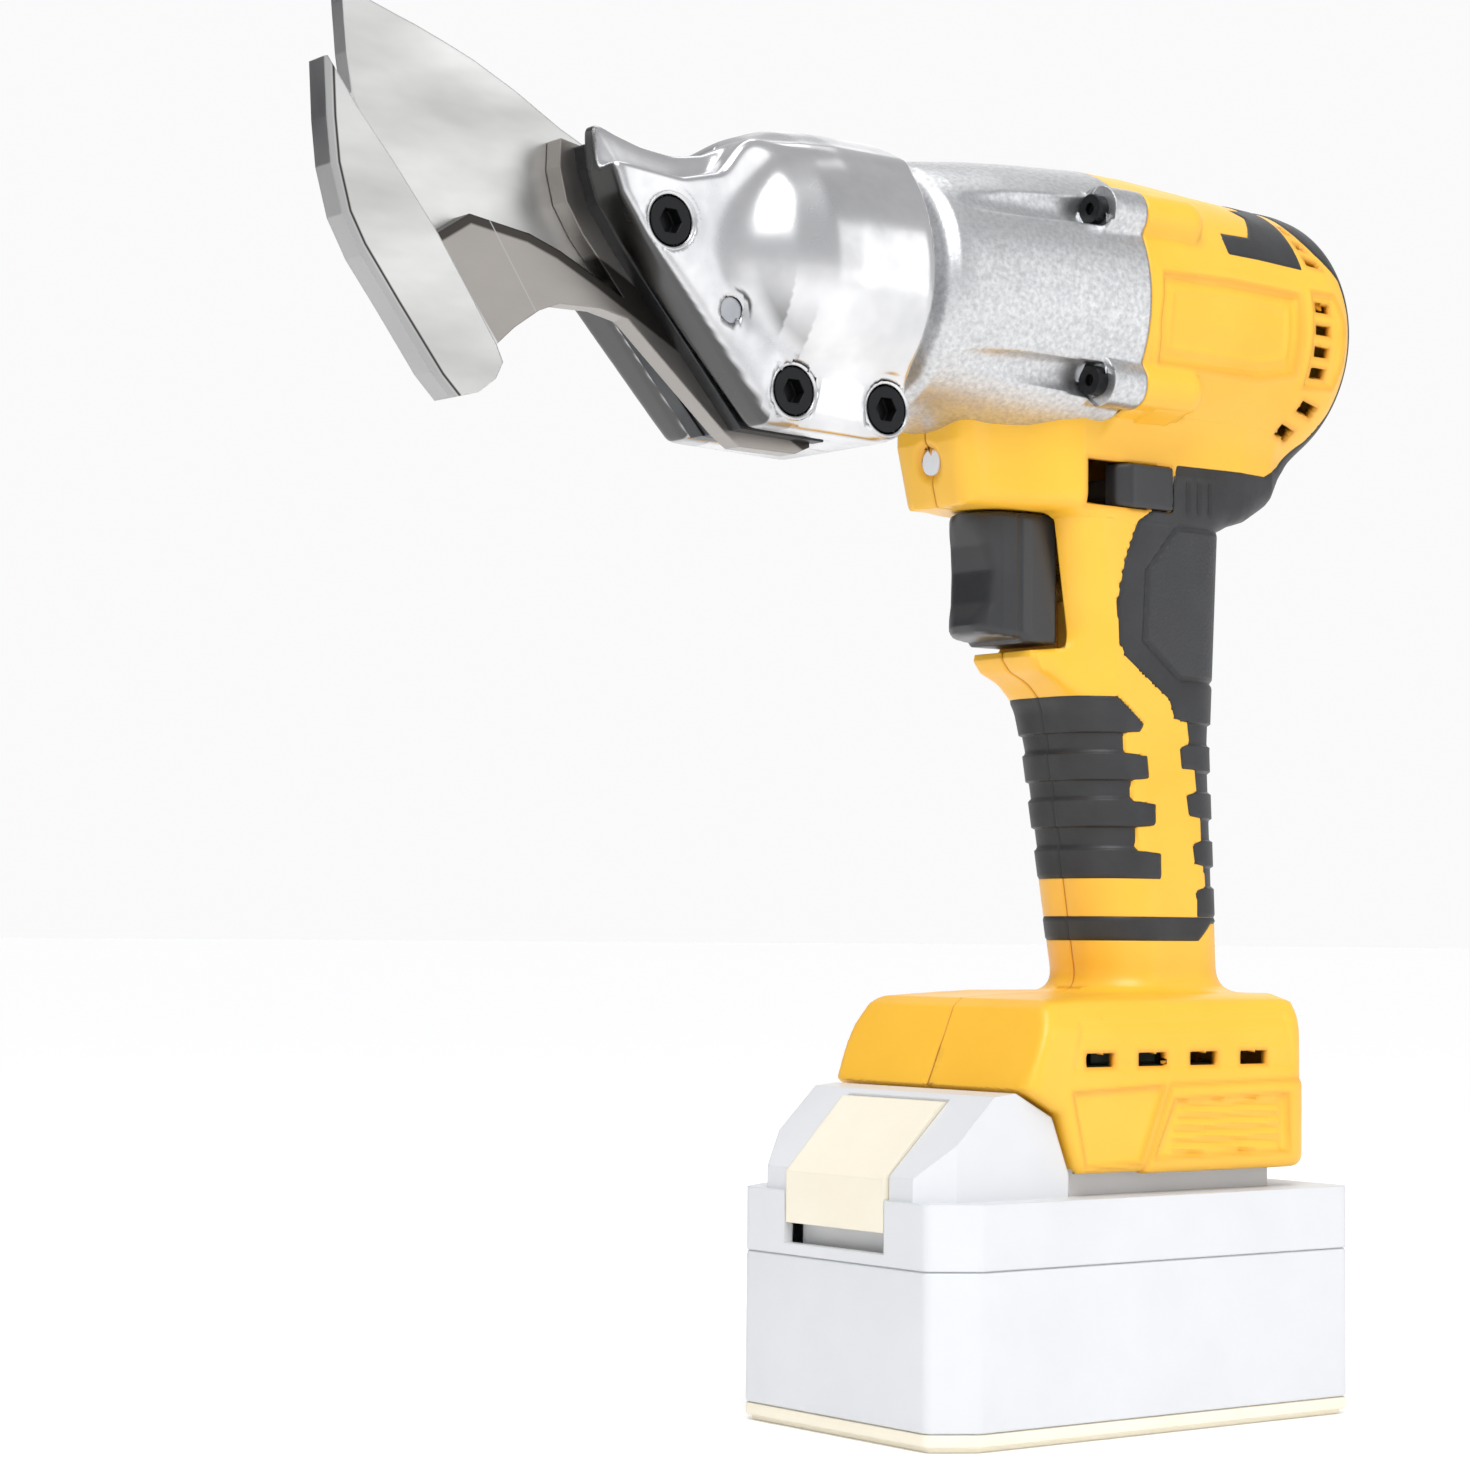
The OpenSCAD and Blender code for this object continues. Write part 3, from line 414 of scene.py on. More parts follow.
def place(name, data):
    """A new object in the scene."""
    obj = bpy.data.objects.new(name, data)
    bpy.context.scene.collection.objects.link(obj)
    return obj


def add_piece(name, parts, body, slot, smooth=35, wall=0.0, replaces=()):
    """Puts grids of points into one mesh. Each part is (points, faces), then which faces are used
    and the points' marks where it has them: painted shade on the housing and the cheeks, the inset on the
    rubber."""
    verts, faces, tint, base = [], [], [], 0
    for part in parts:
        p, f, used, mark = (*part, None, None)[:4]
        f = f[used] if used is not None else f
        verts.append(p.reshape(-1, 3))
        faces.append(f + base)
        tint.append(np.zeros(p.size // 3) if mark is None else mark.reshape(-1))
        base += p.size // 3
    verts, faces, tint = np.concatenate(verts), np.concatenate(faces), np.concatenate(tint)
    key = np.round(verts / MERGE).astype(np.int64)
    _, first, index = np.unique(key, axis=0, return_index=True, return_inverse=True)
    faces = index.reshape(-1)[faces]
    verts, tint = verts[first], tint[first]
    used, index = np.unique(faces, return_inverse=True)
    faces = index.reshape(faces.shape)
    verts, tint = verts[used], tint[used]
    clean = [list(dict.fromkeys(f)) for f in faces.tolist()]
    clean = [f for f in clean if len(f) > 2]
    mesh = bpy.data.meshes.new(name)
    mesh.from_pydata((verts * MM).tolist(), [], clean)
    mesh.validate()
    # each point's mark: painted shade on the yellow housing and the cheeks, the inset on the rubber
    layer = mesh.attributes.new("pocket", "FLOAT", "POINT")
    if len(mesh.vertices) == len(tint):
        layer.data.foreach_set("value", tint.astype(np.float32))
    mesh.materials.append(materials()[slot])
    mesh.shade_smooth()
    mesh.set_sharp_from_angle(angle=math.radians(smooth))
    obj = place(name, mesh)
    if wall:
        solid = obj.modifiers.new("wall", "SOLIDIFY")
        solid.thickness = wall * MM
        solid.offset = -1
        solid.use_even_offset = False
    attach(obj, body)
    if replaces:
        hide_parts(*replaces)
    return obj


def flip(faces):
    """The same faces looking the other way."""
    return faces[:, ::-1]


def mirrored(p):
    """The other side of the tool: the same points with y turned over."""
    return p * np.array([1, -1, 1])


# ------------------------------------------------------------------ housing patches


def row_angles(radius, pitch, seam):
    """Half a turn in even steps, with one narrow step beside each seam."""
    count = max(8, int(math.pi * radius / pitch))
    v = np.linspace(0, 0.5, count)
    edge = seam / (2 * math.pi * radius)
    return np.unique(np.concatenate([v, [edge, 0.5 - edge]]))


def handle_rows(pitch, z0=203.9, z1=96.2):
    """Handle patch: level rays from a slanting core line, one row for each height. Each ray is
    followed to the last place where it leaves the field, so that the mouth keeps its side lips."""
    z = np.linspace(z0, z1, int((z0 - z1) / pitch) + 1)
    v = 2 * math.pi * row_angles(17, pitch, 0.3)
    core = np.interp(z, HANDLE_Z, [(a + b) / 2 for a, b in zip(HANDLE_FRONT, HANDLE_REAR)])
    x = core[:, None] + 0 * v
    d = np.stack([-np.cos(v), -np.sin(v)], -1)
    zz = z[:, None] + 0 * v
    value = lambda r: housing(x + r * d[:, 0], r * d[:, 1], zz)
    lo = np.zeros(x.shape)
    for r in np.arange(4, 48, 1.0):
        lo = np.where(value(lo * 0 + r) < 0, r, lo)
    hi = halve(value, lo, lo + 1)[1]
    return np.stack([x + hi * d[:, 0], hi * d[:, 1], zz], -1)


def barrel_rows(pitch):
    """Barrel patch: rays from the motor axis, fanned over the rounded rear end."""
    v = row_angles(33, pitch, 0.3)
    return skin(housing, (RIM_X + 0.02, 0, AXIS), (62, 0, AXIS), (0, 0, 1), int(60 / pitch), v,
                (0, int(42 / pitch)), 60)


def belly_rows(pitch):
    """Belly patch: rays from a line through the nose and the switch, fanned at both ends."""
    v = row_angles(22, pitch, 0.3)
    return skin(housing, (-26, 0, 221), (52, 0, 223), (0, 0, 1), int(78 / pitch), v,
                (int(22 / pitch), int(26 / pitch)), 46)


def foot_rows(pitch):
    """Foot patch: rays from a line through the foot, fanned at both ends."""
    v = row_angles(30, pitch, 0.3)
    return skin(housing, (-12, 0, 78), (32, 0, 76), (0, 0, 1), int(44 / pitch), v,
                (int(48 / pitch), int(48 / pitch)), 60)


# heights that each patch is cut at, with 1 where it lies above the cut and -1 where it lies below
CUTS = {
    "barrel": ((228.0, 1),),
    "belly": ((228.0, -1), (203.2, 1)),
    "handle": ((203.2, -1), (97.4, 1)),
    "foot": ((97.4, -1),),
}
ROWS = {"barrel": barrel_rows, "belly": belly_rows, "handle": handle_rows, "foot": foot_rows}
# each patch's share of the mesh step, and how many of its own steps a point may move to a line
STEP = {"barrel": 0.72, "belly": 0.85, "handle": 0.85, "foot": 0.75}
REACH = {"barrel": 0.54, "belly": 0.6, "handle": 0.5, "foot": 0.58}


def patch(name, pitch, lines=()):
    """One patch of the housing: points on the surface, their directions, how far they dip under
    the next patch beyond each cut, the faces, and which points to keep."""
    pitch = pitch * STEP[name]
    p = ROWS[name](pitch)
    n = normals(housing, p)
    for line, where in lines:
        p = settle(housing, p, n, line, REACH[name] * pitch, where)
    n = normals(housing, p)
    dip = np.zeros(p.shape[:2])
    keep = np.ones(p.shape[:2], bool)
    for level, sign in CUTS[name]:
        past = (level - p[..., 2]) * sign
        dip = np.maximum(dip, CUT_DIP * ease(past / 0.9))
        keep &= past < CUT_MARGIN
    faces = grid_faces(*p.shape[:2])
    return p, n, dip, faces, keep


def faces_in(faces, flags, how="any"):
    """Faces that have any, or all, of their corners flagged."""
    got = flags.reshape(-1)[faces]
    return got.any(1) if how == "any" else got.all(1)


def oriented(p, n, faces):
    """Turns the faces over where they look against the surface's own directions."""
    m = n.reshape(-1, 3)[faces].mean(1)
    q = p.reshape(-1, 3)[faces]
    wrong = np.sum(np.cross(q[:, 2] - q[:, 0], q[:, 3] - q[:, 1]) * m, -1) < 0
    return np.where(wrong[:, None], faces[:, ::-1], faces)


def on_side(p):
    """True on the flat sides of the housing."""
    return np.abs(p[..., 1]) > 12


def post_lines():
    """Lines of the screw recesses."""
    return [(ring_line(at, POST_R), on_side) for at in POSTS]


def hole_lines():
    """Lines of the openings in the housing, each with the test for the points that it concerns."""
    lamp = lambda p: np.hypot(p[..., 1], p[..., 2] - LAMP_Z) - 3.1
    on_nose = lambda p: p[..., 0] < NOSE_X
    lip = lambda p: np.abs(p[..., 1]) - MOUTH_HALF
    beside = lambda p: (p[..., 0] < 2) & (p[..., 2] > 174.6) & (p[..., 2] < 204)
    lines = [(side_line(c), on_side) for c in OPENINGS]
    return lines + post_lines() + [(lamp, on_nose), (lip, beside)]


def zone_lines(zones):
    """Lines of the rubber's seats and of the panels, which concern every point."""
    return [(side_line(c), None) for c in zones]


PATCH_LINES = {
    "barrel": [REAR_GRIP, TOP_PAD, PANEL],
    "belly": [REAR_GRIP],
    "handle": [REAR_GRIP, FRONT_GRIP, BAND],
    "foot": [FOOT_PANEL],
}


def relief(p, sizes):
    """Depth of the housing's own mouldings at each point: recessed side and foot panels with a
    raised frame line, the vent recess, the lamp dish and the seats for the rubber."""
    x, y, z = p[..., 0], p[..., 1], p[..., 2]
    side = ease((np.abs(y) - 16) / 3)
    s = -outline(x, z, PANEL)
    depth = 0.9 * ease(s / 0.8) * side * (z > 232)
    depth -= 0.45 * np.exp(-((s + 0.9) / 0.7) ** 2) * side * (z > 232)
    depth -= 0.4 * np.exp(-((s - 3.2) / 0.8) ** 2) * side * (z > 232)
    s = -outline(x, z, VENT_FRAME)
    depth += 0.6 * ease(s / 0.6) * side
    depth -= 0.3 * np.exp(-((s + 0.7) / 0.6) ** 2) * side
    flat = ease((np.abs(y) - 28) / 1.5)
    depth += 0.4 * ease(-outline(x, z, FOOT_PANEL) / 0.7) * flat
    s = -outline(x, z, BADGE)
    depth += (0.5 * ease(s / 0.6) - 0.3 * np.exp(-((s + 0.6) / 0.5) ** 2)) * flat
    depth -= 0.5 * ease(-outline(x, z, SKIRT) / 0.7) * flat
    s = -outline(x, z, LOUVRE)
    slat = 0.5 + 0.5 * np.cos((z - 61.6) * 2 * math.pi / 2.7)
    bar = ease((x - 10 + (72 - z) * 0.35) / 0.8) * ease((42 - x) / 0.8)
    depth += (0.8 * ease(s / 0.6) - 0.75 * slat * bar * (s > 0.6)) * flat
    depth += 1.3 * ease((5.2 - np.hypot(y, z - LAMP_Z)) / 3.2) * (x < NOSE_X)
    seat = sizes["rubber_seat"]
    for zone in (REAR_GRIP, FRONT_GRIP, BAND, TOP_PAD):
        depth += seat * ease(-outline(x, z, zone) / 0.6) * ease((31.5 - np.abs(y)) / 0.5)
    return depth


def openings(p):
    """True inside the vents, the lever slot and the lamp hole."""
    x, y, z = p[..., 0], p[..., 1], p[..., 2]
    hit = (np.hypot(y, z - LAMP_Z) < 3.08) & (x < NOSE_X)
    for c in OPENINGS:
        hit |= (outline(x, z, c) < -0.02) & (np.abs(y) > 12)
    return hit


def post_holes(p):
    """True inside the round screw recesses of the right half."""
    hit = np.zeros(p.shape[:-1], bool)
    for at in POSTS:
        hit |= (ring_line(at, POST_R - 0.02)(p) < 0) & (np.abs(p[..., 1]) > 8)
    return hit


def painted_seam_shade(p):
    """How close each point is to a seam, a panel line or an opening, from 0 to 1, which paints shade there
    on the yellow.
    """
    x, y, z = p[..., 0], p[..., 1], p[..., 2]
    mark = 0.7 * np.exp(-(y / 0.5) ** 2)
    for c in [PANEL, VENT_FRAME, BADGE, LOUVRE, SKIRT] + OPENINGS:
        near = 0.75 * np.exp(-((outline(x, z, c) - 0.2) / 0.6) ** 2) * (np.abs(y) > 14)
        mark = np.maximum(mark, near)
    return np.maximum(mark, 0.8 * ease((5 - np.hypot(y, z - LAMP_Z)) / 2) * (x < NOSE_X))


def centres(p, faces):
    """The middle of each face."""
    return p.reshape(-1, 3)[faces].mean(1)


def build_housing(sizes):
    """Yellow housing: four patches for each half, each with a wall, holes and seats."""
    for name in ROWS:
        lines = zone_lines(PATCH_LINES[name]) + hole_lines()
        p, n, dip, faces, keep = patch(name, sizes["pitch"], lines)
        depth = relief(p, sizes) + dip
        depth += SEAM_DEPTH * np.exp(-(p[..., 1] / SEAM_HALF) ** 2)
        q = p - depth[..., None] * n
        q[..., 1] = np.minimum(q[..., 1], -HOUSING_GAP)
        used = faces_in(faces, keep, "all")
        c = centres(p, faces)
        used &= ~openings(c)
        if name == "belly":
            used &= ~((c[:, 2] > 226) & (np.hypot(c[:, 1], c[:, 2] - AXIS) < 26) & (c[:, 0] < 2))
        if name == "foot":
            used &= ~((c[:, 2] < 57.6) & (np.abs(c[:, 1]) < 31) & (c[:, 0] < 49))
        faces = oriented(p, n, faces)
        # painted shade by the seams, panel lines, openings and the lamp
        mark = painted_seam_shade(p)
        posts = post_holes(c)
        for side, text in ((1, "left"), (-1, "right")):
            pts = q if side == 1 else mirrored(q)
            f = faces if side == 1 else flip(faces)
            here = used if side == 1 else used & ~posts
            add_piece(f"{text}_{name}_shell", [(pts, f, here, mark)], "housing", "yellow_nylon",
                      wall=sizes["wall"], replaces=(f"{text}_housing",) if name == "handle" else ())


def build_rubber(name, node, zone, patches, sizes, steps=(), inset=None, extra=None):
    """A rubber skin let into the housing: proud of it inside its outline, with a rounded edge, and
    dipping under the yellow beyond it. Steps are heights between which the skin is let in deeper,
    an inset is an outline with a groove round it, and extra gives further depth at each point."""
    parts = []
    pitch = sizes["rubber_pitch"]
    for patch_name in patches:
        lines = zone_lines([zone] + ([inset] if inset else []))
        if extra:
            lines += [(side_line(LEVER_SLOT), on_side)] + post_lines()
        for z0, z1 in steps:
            for level in (z0, z1):
                lines.append((lambda p, level=level: p[..., 2] - level, None))
        p, n, dip, faces, keep = patch(patch_name, pitch, lines)
        s = -side_line(zone)(p)
        if node == "top_pad":
            s = np.minimum(s, 31.6 - np.abs(p[..., 1]))
        out = RUBBER_PROUD - 0.35 * (1 - ease(s / 0.7)) - 1.25 * ease(-s / 0.5)
        for z0, z1 in steps:
            out -= 0.75 * ease(np.minimum(p[..., 2] - z0, z1 - p[..., 2]) / 0.5) * (s > -0.5)
        if inset:
            t = -side_line(inset)(p)
            out -= 0.6 * np.exp(-(t / 0.55) ** 2) * (s > 0.3)
        if extra:
            out = out + extra(p)
        q = p + (out - dip)[..., None] * n
        q -= (0.3 * np.exp(-(p[..., 1] / 0.22) ** 2))[..., None] * n
        q[..., 0] = np.minimum(q[..., 0], RUBBER_END)
        used = faces_in(faces, keep, "all") & faces_in(faces, s > -0.9, "any")
        used &= ~openings(centres(p, faces))
        faces = oriented(p, n, faces)
        mark = ease((t - 0.8) / 0.4) if inset else None
        parts.append((q, faces, used, mark))
        parts.append((mirrored(q), flip(faces), used & ~post_holes(centres(p, faces)), mark))
    add_piece(name, parts, "housing", "black_rubber", wall=RUBBER_WALL, replaces=(node,),
              smooth=40)


def rear_ribs(p):
    """Three short upright grooves beside the lever."""
    x, y, z = p[..., 0], p[..., 1], p[..., 2]
    bar = np.zeros(x.shape)
    for at in (25.6, 29.1, 32.6):
        bar -= 0.6 * np.exp(-((x - at) / 0.5) ** 2) * ease((4.3 - np.abs(z - 210)) / 0.8)
    return bar * (np.abs(y) > 15)


def closed_skin(field, a, b, up, pitch, reach, caps, around):
    """A skin all the way round a straight core, as its points and faces."""
    length = np.linalg.norm(np.array(b, float) - np.array(a, float))
    p = skin(field, a, b, up, max(3, int(length / pitch)), around, caps, reach)
    return p, oriented(p, normals(field, p), grid_faces(*p.shape[:2]))


def even(p, passes):
    """Runs a short average along both ways of a grid, which rounds its sharp edges evenly."""
    for _ in range(passes):
        q = p.copy()
        q[1:-1] = (p[:-2] + 2 * p[1:-1] + p[2:]) / 4
        p = q.copy()
        ring = q[:, :-1]
        p[:, :-1] = (np.roll(ring, 1, 1) + 2 * ring + np.roll(ring, -1, 1)) / 4
        p[:, -1] = p[:, 0]
    return p


def turned_ring(at, profile, around=64):
    """A closed profile of (radius, y) points turned about a line along Y through (x, z)."""
    v = np.linspace(0, 2 * math.pi, around, endpoint=False)
    prof = np.array(profile + profile[:1], float)
    p = np.stack([
        at[0] + prof[:, :1] * np.cos(v), prof[:, 1:] + 0 * v, at[1] + prof[:, :1] * np.sin(v)
    ], -1)
    return p, grid_faces(*p.shape[:2], wrap=True)


def build_head():
    """Both cheeks: the left one's skin with round openings at its screws, and its mirror image,
    with a turned seat for each screw and nut."""
    p = skin(cheek, (-127.5, -14.5, 262), (-63, -14.5, 247), (0, 0, 1), 140, 291, (34, 34), 60)
    p = even(p, 7)
    rings = [ring_line(at, 6.0) for at in SCREWS] + [ring_line(DOWEL, 2.85)]
    outer = lambda q: q[..., 1] < -15
    n = normals(cheek, p)
    for ring in rings:
        p = settle(cheek, p, n, ring, 0.48, outer)
    n = normals(cheek, p)
    faces = oriented(p, n, grid_faces(*p.shape[:2]))
    c = centres(p, faces)
    used = faces_in(faces, p[..., 1] < -0.05, "any")
    for ring in rings:
        used &= ~((ring(c) < 0) & outer(c))
    # painted shade: near black on the faces at the front of the cheeks that turn forward and down
    mark = ease((-0.85 * n[..., 0] - 0.6 * n[..., 2] - 0.45) / 0.4) * (p[..., 0] < -88) * (p[..., 2] > 205)
    p = np.stack([p[..., 0], np.minimum(p[..., 1], -CHEEK_GAP), p[..., 2]], -1)
    for side, grid in (("left", (p, faces)), ("right", (mirrored(p), flip(faces)))):
        add_piece(f"{side}_cheek_casting", [(*grid, used, mark)], "housing", "polished_aluminium",
                  wall=CHEEK_WALL, replaces=(f"{side}_cheek",), smooth=30)
    seats = []
    for at in SCREWS:
        for side, bore, floor in ((-1, 5.4, 14), (1, 5.95, 14.5)):
            prof = [(6.05, 19.98), (bore + 0.12, 19.7), (bore, 19.3), (bore, floor), (3.05, floor),
                    (3.05, floor - 0.8), (6.4, floor - 0.8), (6.4, 19.5)]
            q, f = turned_ring(at, [(r, side * y) for r, y in prof])
            seats.append((q, f if side > 0 else flip(f)))
    add_piece("screw_seats", seats, "housing", "polished_aluminium", smooth=30)


def chamfered_box(lo, hi, r):
    """Distance field of a box with rounded edges."""
    mid = [(a + b) / 2 for a, b in zip(lo, hi)]
    half = [(b - a) / 2 for a, b in zip(lo, hi)]

    def field(x, y, z):
        """Distance to the box shrunk by r, less r."""
        q = [np.abs(c - m) - h + r for c, m, h in zip((x, y, z), mid, half)]
        out = np.sqrt(sum(np.maximum(v, 0) ** 2 for v in q))
        return out + np.minimum(np.maximum(np.maximum(q[0], q[1]), q[2]), 0) - r

    return field


def lever_button(x, y, z):
    """Left thumb button of the direction lever: a rounded block with its front face sloped."""
    box = chamfered_box((4.3, -21.8, 206.3), (20.4, -15.6, 216.3), 0.7)(x, y, z)
    slope = (-(x - 4.3) - (y + 19.2) * 1.1) * 0.67
    return meet(box, slope, 0.8)


def build_controls():
    """Trigger as a hollow shell, and the lever with its two buttons and the bar between them."""
    p, faces = closed_skin(trigger, (-12, 0, 181), (-12, 0, 198), (1, 0, 0), 0.5, 30, (26, 26), 181)
    used = centres(p, faces)[:, 0] < TRIGGER_REAR
    add_piece("trigger_shell", [(p, faces, used)], "trigger", "black_plastic", wall=TRIGGER_WALL,
              replaces=("trigger",), smooth=32)
    far_button = chamfered_box((4.3, 12.6, 206.3), (20.4, 19, 216.3), 0.7)
    bar = chamfered_box((7, -15.9, 209), (18, 12.9, 213.5), 0.5)
    parts = [
        closed_skin(field, (x0, y0, z), (x1, y1, z), (0, 0, 1), pitch, reach, (fan, fan), around)
        for field, x0, x1, y0, y1, z, pitch, reach, fan, around in (
            (lever_button, 7.5, 17.5, -17.6, -17.6, 211.3, 0.5, 16, 12, 97),
            (far_button, 7.5, 17.5, 15.8, 15.8, 211.3, 0.5, 16, 12, 97),
            (bar, 12.5, 12.5, -14, 11, 211.2, 1.2, 22, 8, 65),
        )
    ]
    add_piece("lever_buttons", parts, "direction_lever", "black_plastic",
              replaces=("direction_lever",), smooth=32)


def plan_loop(corners, r):
    """A convex outline with its corners rounded to r, as evenly spaced points and directions."""
    pts, dirs = [], []
    c = np.array(corners, float)
    area = np.sum(c[:, 0] * np.roll(c[:, 1], -1) - c[:, 1] * np.roll(c[:, 0], -1))
    c = c if area > 0 else c[::-1]
    for i in range(len(c)):
        a, b, d = c[i - 1], c[i], c[(i + 1) % len(c)]
        u, w = (b - a) / np.linalg.norm(b - a), (d - b) / np.linalg.norm(d - b)
        nu, nw = np.array([u[1], -u[0]]), np.array([w[1], -w[0]])
        half = math.acos(np.clip(u @ w, -1, 1)) / 2
        centre = b - (nu + nw) / np.linalg.norm(nu + nw) * r / math.cos(half)
        start = math.atan2(nu[1], nu[0])
        count = max(3, int(half * 2 / math.radians(9)))
        t = start + np.linspace(0, 2 * half, count)
        pts.append(centre + r * np.stack([np.cos(t), np.sin(t)], -1))
        dirs.append(np.stack([np.cos(t), np.sin(t)], -1))
    return np.concatenate(pts), np.concatenate(dirs)


def plan_stack(corners, r, levels):
    """A plan outline carried round a closed loop of (height, inset) levels."""
    at, out = plan_loop(corners, r)
    lv = np.array(levels + levels[:1], float)
    xy = at[None] - lv[:, 1][:, None, None] * out[None]
    p = np.concatenate([xy, (lv[:, 0][:, None] + 0 * at[:, 0])[..., None]], -1)
    return p, grid_faces(*p.shape[:2], wrap=True)


# the battery seen from above, and the (height, inset) levels of its lower case and base band
PACK_PLAN = both([(-61, 31.5), (-51, 38), (61, 38)])
PACK_CORNER = 3
CASE_LEVELS = [
    (4.05, 2.5), (4.05, 0.7), (4.3, 0.2), (4.9, 0), (36.9, 0), (37.6, 0.22), (37.95, 0.7), (37.95, 2.5),
]
BAND_LEVELS = [
    (2.4, 3.0), (0.0, 3.0), (0.0, 2.0), (0.3, 1.5), (1.2, 1.4), (1.25, 0.5), (1.5, 0.1), (2.0, 0),
    (3.4, 0), (3.8, 0.15), (4.0, 0.6), (4.0, 2.4), (2.4, 2.5),
]


def build_battery():
    """Battery: the lower case with the plate behind its latch, and the base band with its floors."""
    plate = chamfered_box((-56.2, -16.8, 38.2), (-55.2, 16.8, 50), 0.3)
    parts = [
        plan_stack(PACK_PLAN, PACK_CORNER, CASE_LEVELS),
        closed_skin(plate, (-55.7, -15, 44), (-55.7, 15, 44), (0, 0, 1), 0.8, 22, (8, 8), 65),
    ]
    add_piece("pack_lower_case", parts, "battery", "grey_plastic",
              replaces=("battery_lower_case",), smooth=30)
    parts = [plan_stack(PACK_PLAN, PACK_CORNER, BAND_LEVELS)]
    loop, out = plan_loop(PACK_PLAN, PACK_CORNER)
    ring = loop - 2.98 * out
    for z, up in ((0.0, -1), (2.4, 1)):
        disc = np.stack([np.column_stack([ring * k, np.full(len(ring), z)]) for k in (1.0, 0.6, 0.0)])
        way = np.zeros(disc.shape) + (0, 0, up)
        parts.append((disc, oriented(disc, way, grid_faces(*disc.shape[:2], wrap=True))))
    add_piece("pack_base_band", parts, "battery", "cream_plastic",
              replaces=("battery_base",), smooth=30)


# ------------------------------------------------------------------ finishes


def fill(tree, target, inputs):
    """Gives a node's inputs their fixed values or the outputs of other nodes."""
    for key, value in dict(inputs).items():
        if isinstance(value, bpy.types.NodeSocket):
            tree.links.new(value, target.inputs[key])
        else:
            target.inputs[key].default_value = value


def node(tree, kind, inputs=(), **settings):
    """Adds a shader node with its settings and its inputs."""
    made = tree.nodes.new("ShaderNode" + kind)
    for key, value in settings.items():
        setattr(made, key, value)
    fill(tree, made, inputs)
    return made


def maths(tree, kind, *terms):
    """The result of a Math node on one, two or three terms."""
    return node(tree, "Math", enumerate(terms), operation=kind).outputs[0]


def noise(tree, vector, scale, detail):
    """The value of a noise."""
    inputs = {"Vector": vector, "Scale": scale, "Detail": detail, "Roughness": 0.55}
    return node(tree, "TexNoise", inputs).outputs["Fac"]


def new_group(name, inputs, outputs):
    """A shader node group; returns it with what it is given and the sockets that it puts out."""
    g = bpy.data.node_groups.new(name, "ShaderNodeTree")
    for kind, label, default in inputs:
        socket = g.interface.new_socket(label, in_out="INPUT", socket_type="NodeSocket" + kind)
        if default is not None:
            socket.default_value = default
    for kind, label in outputs:
        g.interface.new_socket(label, in_out="OUTPUT", socket_type="NodeSocket" + kind)
    return g, g.nodes.new("NodeGroupInput").outputs, g.nodes.new("NodeGroupOutput").inputs


def grain_group():
    """Surface grain: a fine noise and a coarse one give a height, a mottle and a dust mask."""
    g, given, out = new_group("Surface grain", [
        ("Vector", "Vector", None), ("Float", "Fine", 1800.0), ("Float", "Coarse", 60.0),
        ("Float", "Stretch", 1.0),
    ], [("Float", "Height"), ("Float", "Mottle"), ("Float", "Dust")])
    scale = node(g, "CombineXYZ", {0: given["Stretch"], 1: 1, 2: 1}).outputs[0]
    at = node(g, "VectorMath", {0: given["Vector"], 1: scale}, operation="MULTIPLY").outputs[0]
    fine = noise(g, at, given["Fine"], 3)
    coarse = noise(g, at, given["Coarse"], 4)
    spread = node(g, "MapRange", {"Value": coarse, "From Min": 0.3, "From Max": 0.7})
    way = node(g, "NewGeometry").outputs["Normal"]
    up = maths(g, "MAXIMUM", node(g, "SeparateXYZ", {0: way}).outputs[2], 0.0)
    g.links.new(maths(g, "MULTIPLY_ADD", coarse, 0.25, fine), out["Height"])
    g.links.new(spread.outputs["Result"], out["Mottle"])
    g.links.new(maths(g, "MULTIPLY", up, coarse), out["Dust"])
    return g


def wear_group():
    """Edge wear: the difference between a rounded and a true direction, broken up by noise."""
    g, given, out = new_group("Edge wear", [("Vector", "Vector", None), ("Float", "Amount", 1.0)],
                              [("Float", "Edge"), ("Vector", "Normal")])
    rounded = node(g, "Bevel", {"Radius": 0.0005}, samples=4).outputs[0]
    true = node(g, "NewGeometry").outputs["Normal"]
    same = node(g, "VectorMath", {0: rounded, 1: true}, operation="DOT_PRODUCT").outputs["Value"]
    bend = maths(g, "MULTIPLY", maths(g, "SUBTRACT", 1.0, same), 5.0)
    bend = maths(g, "MULTIPLY", bend, noise(g, given["Vector"], 260, 3))
    bend = maths(g, "MULTIPLY", bend, given["Amount"])
    g.links.new(maths(g, "MINIMUM", bend, 1.0), out["Edge"])
    g.links.new(rounded, out["Normal"])
    return g


BLADE_BACK = [
    (-165.4, 215.7), (-170.2, 220.4), (-179.4, 232.6), (-186.6, 241.8), (-191, 249.6),
    (-193.8, 259.4), (-194.9, 268.6), (-195.6, 280.4),
]
BLADE_TOP = [
    (-168.8, 248.6), (-160.8, 253.8), (-146.2, 251.6), (-138.6, 249), (-128.6, 244.2), (-122.4, 240.9),
]
BLADE_WEB = [(-153.6, 228.2), (-169.8, 250)]
BLADE_SCRIBE = [(-145.5, 237.3), (-156.5, 253.9)]


